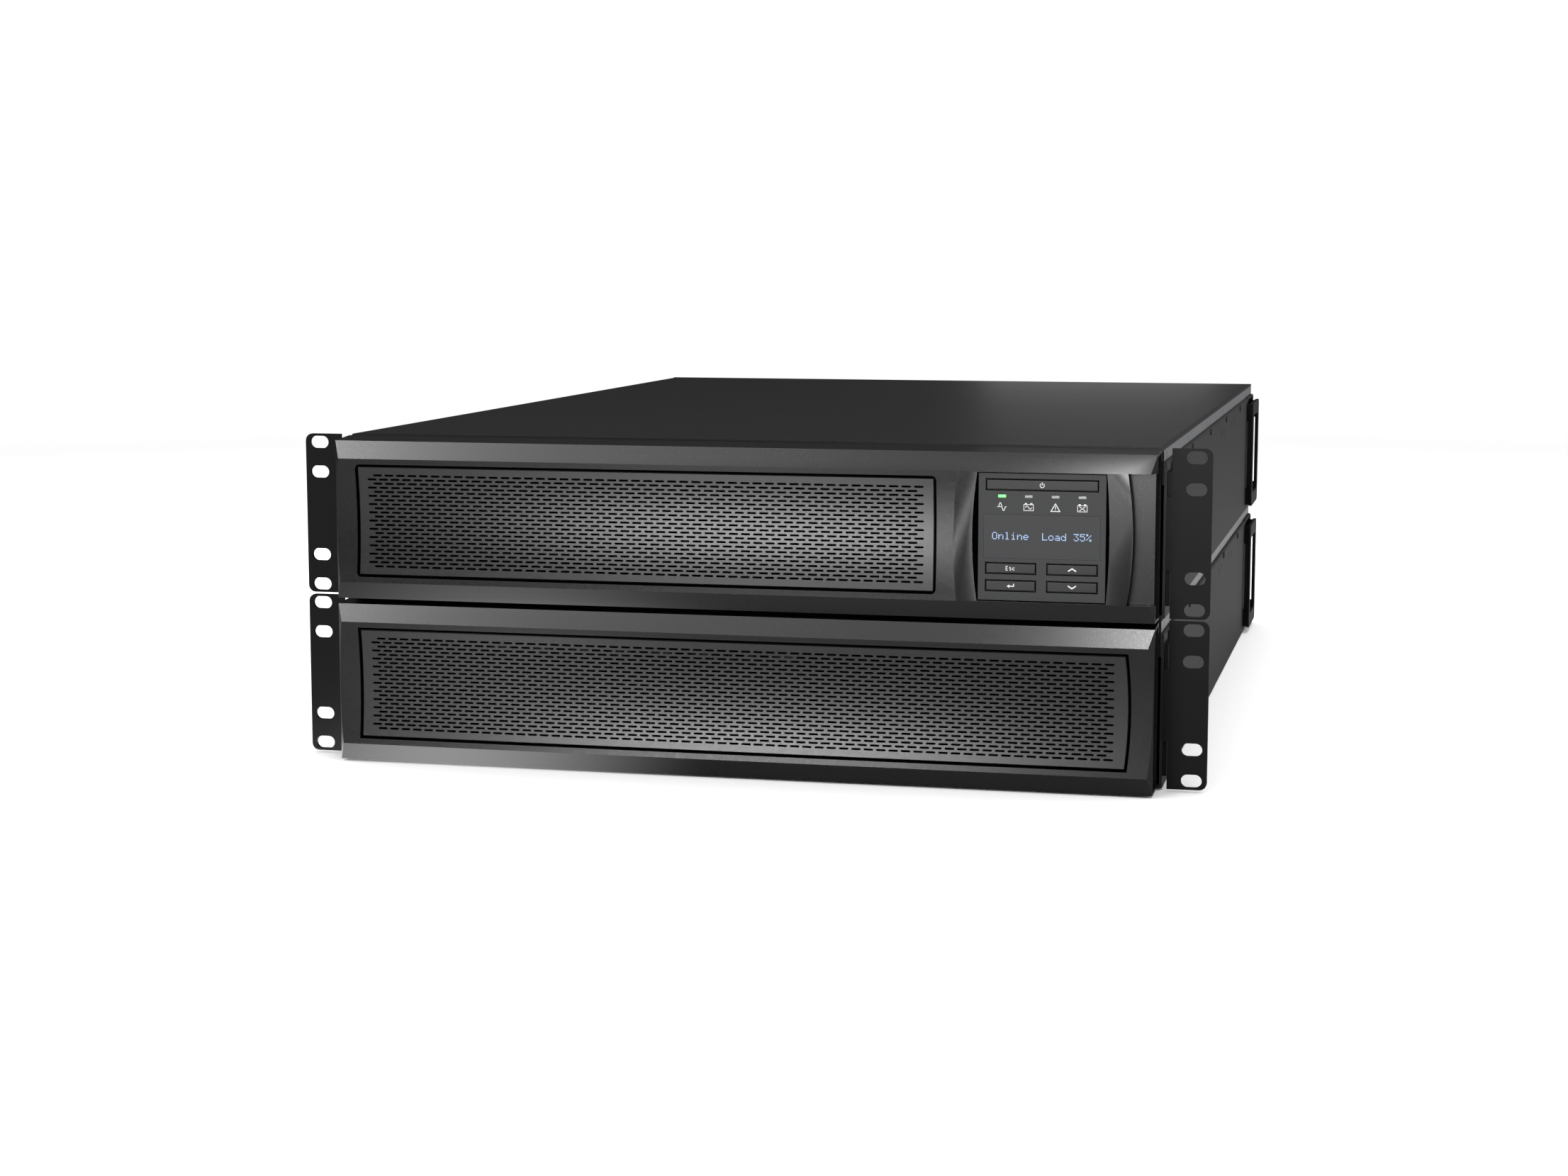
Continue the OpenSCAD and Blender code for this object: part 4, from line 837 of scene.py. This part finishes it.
GLYPHS = {  # rows from the top, one bit for each of five dots
    "O": "01110 10001 10001 10001 10001 10001 01110",
    "n": "00000 00000 10110 11001 10001 10001 10001",
    "l": "01100 00100 00100 00100 00100 00100 01110",
    "i": "00100 00000 01100 00100 00100 00100 01110",
    "e": "00000 00000 01110 10001 11111 10000 01110",
    "L": "10000 10000 10000 10000 10000 10000 11111",
    "o": "00000 00000 01110 10001 10001 10001 01110",
    "a": "00000 00000 01110 00001 01111 10001 01111",
    "d": "00001 00001 01101 10011 10001 10001 01111",
    "3": "11111 00010 00100 00010 00001 10001 01110",
    "5": "11111 10000 11110 00001 00001 10001 01110",
    "%": "11000 11001 00010 00100 01000 10011 00011",
    " ": "00000 00000 00000 00000 00000 00000 00000",
}
SCREEN_TEXT = "Online  Load 35%"
LETTER_PITCH = 6  # in dots
MIDDLE_ROW = 3
DOT_PITCH = 0.52
DOT_SIZE = 0.38


def screen_text():
    """Lit square dots on the lens's face."""
    low, high = box_mm("display_lens")
    dots = Signs(fascia_x, low.y, (low.z + high.z) / 2)
    width = (LETTER_PITCH * len(SCREEN_TEXT) - 1) * DOT_PITCH
    for place, letter in enumerate(SCREEN_TEXT):
        for row, bits in enumerate(GLYPHS[letter].split()):
            for column, bit in enumerate(bits):
                if bit == "1":
                    u = (LETTER_PITCH * place + column) * DOT_PITCH - width / 2
                    v = (MIDDLE_ROW - row) * DOT_PITCH
                    dots.prism([(u, v), (u + DOT_SIZE, v), (u + DOT_SIZE, v + DOT_SIZE), (u, v + DOT_SIZE)])
    dots.make("screen_text", PIXELS, "display", "screen")


screen_text()


# ------------------------------------------------------------------ camera

CAMERA_AT = Vector((0.34705, -1.65623, 0.27264))
CAMERA_AIM = Vector((0.0281, -0.331, 0.0999))
CAMERA_LENS = 62.29
SENSOR_WIDTH = 36.0


def aimed(name, data, at, aim):
    """New camera or lamp that looks from one place to another."""
    piece = bpy.data.objects.new(name, data)
    piece.location = at
    piece.rotation_euler = (Vector(aim) - Vector(at)).to_track_quat("-Z", "Y").to_euler()
    bpy.context.scene.collection.objects.link(piece)
    return piece


camera_data = bpy.data.cameras.new("camera")
camera_data.lens = CAMERA_LENS
camera_data.sensor_width = SENSOR_WIDTH
camera_data.sensor_fit = "HORIZONTAL"
bpy.context.scene.camera = aimed("camera", camera_data, CAMERA_AT, CAMERA_AIM)


# ------------------------------------------------------------------ floor and surroundings

FLOOR_RADIUS = 4.0
FLOOR_DROP = 0.0004
FADE_FROM, FADE_TO = 0.7, 2.4  # the floor fades out between these distances
PATCH_AT = (-0.16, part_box("ups_bezel")[0].y)
PATCH_SIZE = 0.15
PATCH_RADIANCE = 6.0
FLOOR_SHADE = 0.8  # the floor's grey in soft light
FLOOR_REFLECTED = 0.3
SKY_LIGHT = 1.7  # the surroundings' soft light
SKY_LEFT, SKY_RIGHT = 0.03, 0.35  # what reflections see beside the object
SKY_BEHIND = 0.05  # what is added to that above and behind it


def by_ray(tree, camera_grey, diffuse_grey, glossy):
    """Colour with one grey for the camera and one for soft light. Reflections see a grey or a socket."""
    path = tree.nodes.new("ShaderNodeLightPath")
    colour = (glossy, glossy, glossy, 1.0) if isinstance(glossy, float) else glossy
    for ray, grey in (("Is Diffuse Ray", diffuse_grey), ("Is Camera Ray", camera_grey)):
        mix = tree.nodes.new("ShaderNodeMix")
        mix.data_type = "RGBA"
        feed(tree, mix.inputs["Factor"], path.outputs[ray])
        feed(tree, mix.inputs["A"], colour)
        feed(tree, mix.inputs["B"], (grey, grey, grey, 1.0))
        colour = mix.outputs["Result"]
    return colour


def reflected_patch(nodes):
    """Strength of a soft glow on the floor in front of the bezels, which shows only in reflections."""
    mapping = nodes.add("ShaderNodeMapping", Location=(*PATCH_AT, 0.0), Scale=(PATCH_SIZE, PATCH_SIZE, 1.0))
    mapping.vector_type = "TEXTURE"
    nodes.join(nodes.place, mapping.inputs["Vector"])
    away = distance_from_origin(nodes.tree, mapping.outputs["Vector"])
    glow = map_range(nodes.tree, away, 0.0, 1.0, PATCH_RADIANCE, 0.0)
    return maths(nodes.tree, "MULTIPLY", glow, nodes.add("ShaderNodeLightPath").outputs["Is Glossy Ray"])


def floor():
    """Pale round floor that fades out towards its rim."""
    bm = bmesh.new()
    bmesh.ops.create_circle(bm, cap_ends=True, segments=96, radius=FLOOR_RADIUS)
    piece = bpy.data.objects.new("floor", mesh_from("floor", bm))
    piece.location.z = -FLOOR_DROP
    bpy.context.scene.collection.objects.link(piece)
    nodes = Nodes("floor", (1.0, 1.0, 1.0), 0.9, specular=0.1)
    nodes.join(by_ray(nodes.tree, 1.0, FLOOR_SHADE, FLOOR_REFLECTED), nodes.shader.inputs["Base Color"])
    fade = map_range(nodes.tree, distance_from_origin(nodes.tree, nodes.place), FADE_FROM, FADE_TO, 1.0, 0.0)
    nodes.join(fade, nodes.shader.inputs["Alpha"])
    nodes.shader.inputs["Emission Color"].default_value = (1.0, 1.0, 1.0, 1.0)
    nodes.join(reflected_patch(nodes), nodes.shader.inputs["Emission Strength"])
    nodes.material.cycles.emission_sampling = "NONE"
    piece.data.materials.append(nodes.material)


def world_colour(tree):
    """White to the camera. In reflections dark, but paler to the object's right and above and behind it."""
    place = tree.nodes.new("ShaderNodeTexCoord")
    axes = tree.nodes.new("ShaderNodeSeparateXYZ")
    feed(tree, axes.inputs["Vector"], place.outputs["Generated"])
    behind = map_range(tree, axes.outputs["Y"], -0.2, 0.3, 0.0, 1.0)
    above = map_range(tree, axes.outputs["Z"], 0.05, 0.4, 0.0, SKY_BEHIND)
    right = map_range(tree, axes.outputs["X"], -0.1, 0.4, SKY_LEFT, SKY_RIGHT)
    return by_ray(tree, 1.0, SKY_LIGHT, maths(tree, "MULTIPLY_ADD", behind, above, right))


def surroundings():
    world = bpy.data.worlds.new("studio")
    world.use_nodes = True
    background = world.node_tree.nodes["Background"]
    background.inputs["Strength"].default_value = 1.0
    feed(world.node_tree, background.inputs["Color"], world_colour(world.node_tree))
    bpy.context.scene.world = world


floor()
surroundings()


# ------------------------------------------------------------------ lights

BAND_LEAN = 20.6  # how far a bezel's top band leans back, in degrees
FIELD_LEAN = 0.5  # the same for the raised field at its brightest place
BAND_DROP = 6 * MM  # from a bezel's top down to the middle of its band
SPOT_DROP = 2 * MM  # from there down to that place
front_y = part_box("ups_bezel")[0].y
band_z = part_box("ups_bezel")[1].z - BAND_DROP
pack_band_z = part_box("pack_bezel")[1].z - BAND_DROP
spot_z = band_z - SPOT_DROP
grille_z = (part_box("ups_grille")[0].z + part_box("ups_grille")[1].z) / 2
top_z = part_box("ups_top_cover")[1].z


def area_light(name, at, aim, size, radiance):
    data = bpy.data.lights.new(name, "AREA")
    data.shape = "RECTANGLE"
    data.size, data.size_y = size
    data.energy = radiance * math.pi * size[0] * size[1]
    lamp = aimed(name, data, at, aim)
    lamp.visible_camera = False
    return lamp


def softbox(name, spot, normal, distance, size, radiance):
    """Light for highlights. It stands where the camera sees it mirrored at a spot, and faces that spot."""
    spot = Vector(spot)
    normal = Vector(normal).normalized()
    view = (CAMERA_AT - spot).normalized()
    away = 2 * normal.dot(view) * normal - view
    lamp = area_light(name, spot + away * distance, spot, size, radiance)
    lamp.visible_diffuse = False


def leaning(degrees):
    """Direction that a surface on the front faces when it leans back from facing -Y."""
    return (0, -math.cos(math.radians(degrees)), math.sin(math.radians(degrees)))


band_normal = leaning(BAND_LEAN)
area_light("overhead", (0.0, 0.5, 2.4), (0.0, 0.0, 0.0), size=(2.6, 2.6), radiance=0.54)
softbox("band_left", (-0.28, front_y, band_z), band_normal,
        distance=0.9, size=(0.14, 0.4), radiance=30.0)
softbox("band_middle", (-0.03, front_y, band_z), band_normal,
        distance=1.8, size=(0.6, 0.5), radiance=3.8)
softbox("band_right", (0.23, front_y, pack_band_z), band_normal,
        distance=0.4, size=(0.05, 0.09), radiance=65.0)
softbox("grille_glow", (0.025, front_y, grille_z), leaning(0.0),
        distance=0.7, size=(0.30, 0.05), radiance=30.0)
softbox("column_glow", (0.2, front_y, spot_z), leaning(FIELD_LEAN),
        distance=0.35, size=(0.04, 0.04), radiance=24.0)
softbox("top_glow", (0.17, -0.2, top_z), (0, 0, 1),
        distance=0.9, size=(0.2, 0.2), radiance=0.75)

view_settings = bpy.context.scene.view_settings
view_settings.view_transform = "Standard"
view_settings.look = "None"
view_settings.exposure = 0.0
view_settings.gamma = 1.0
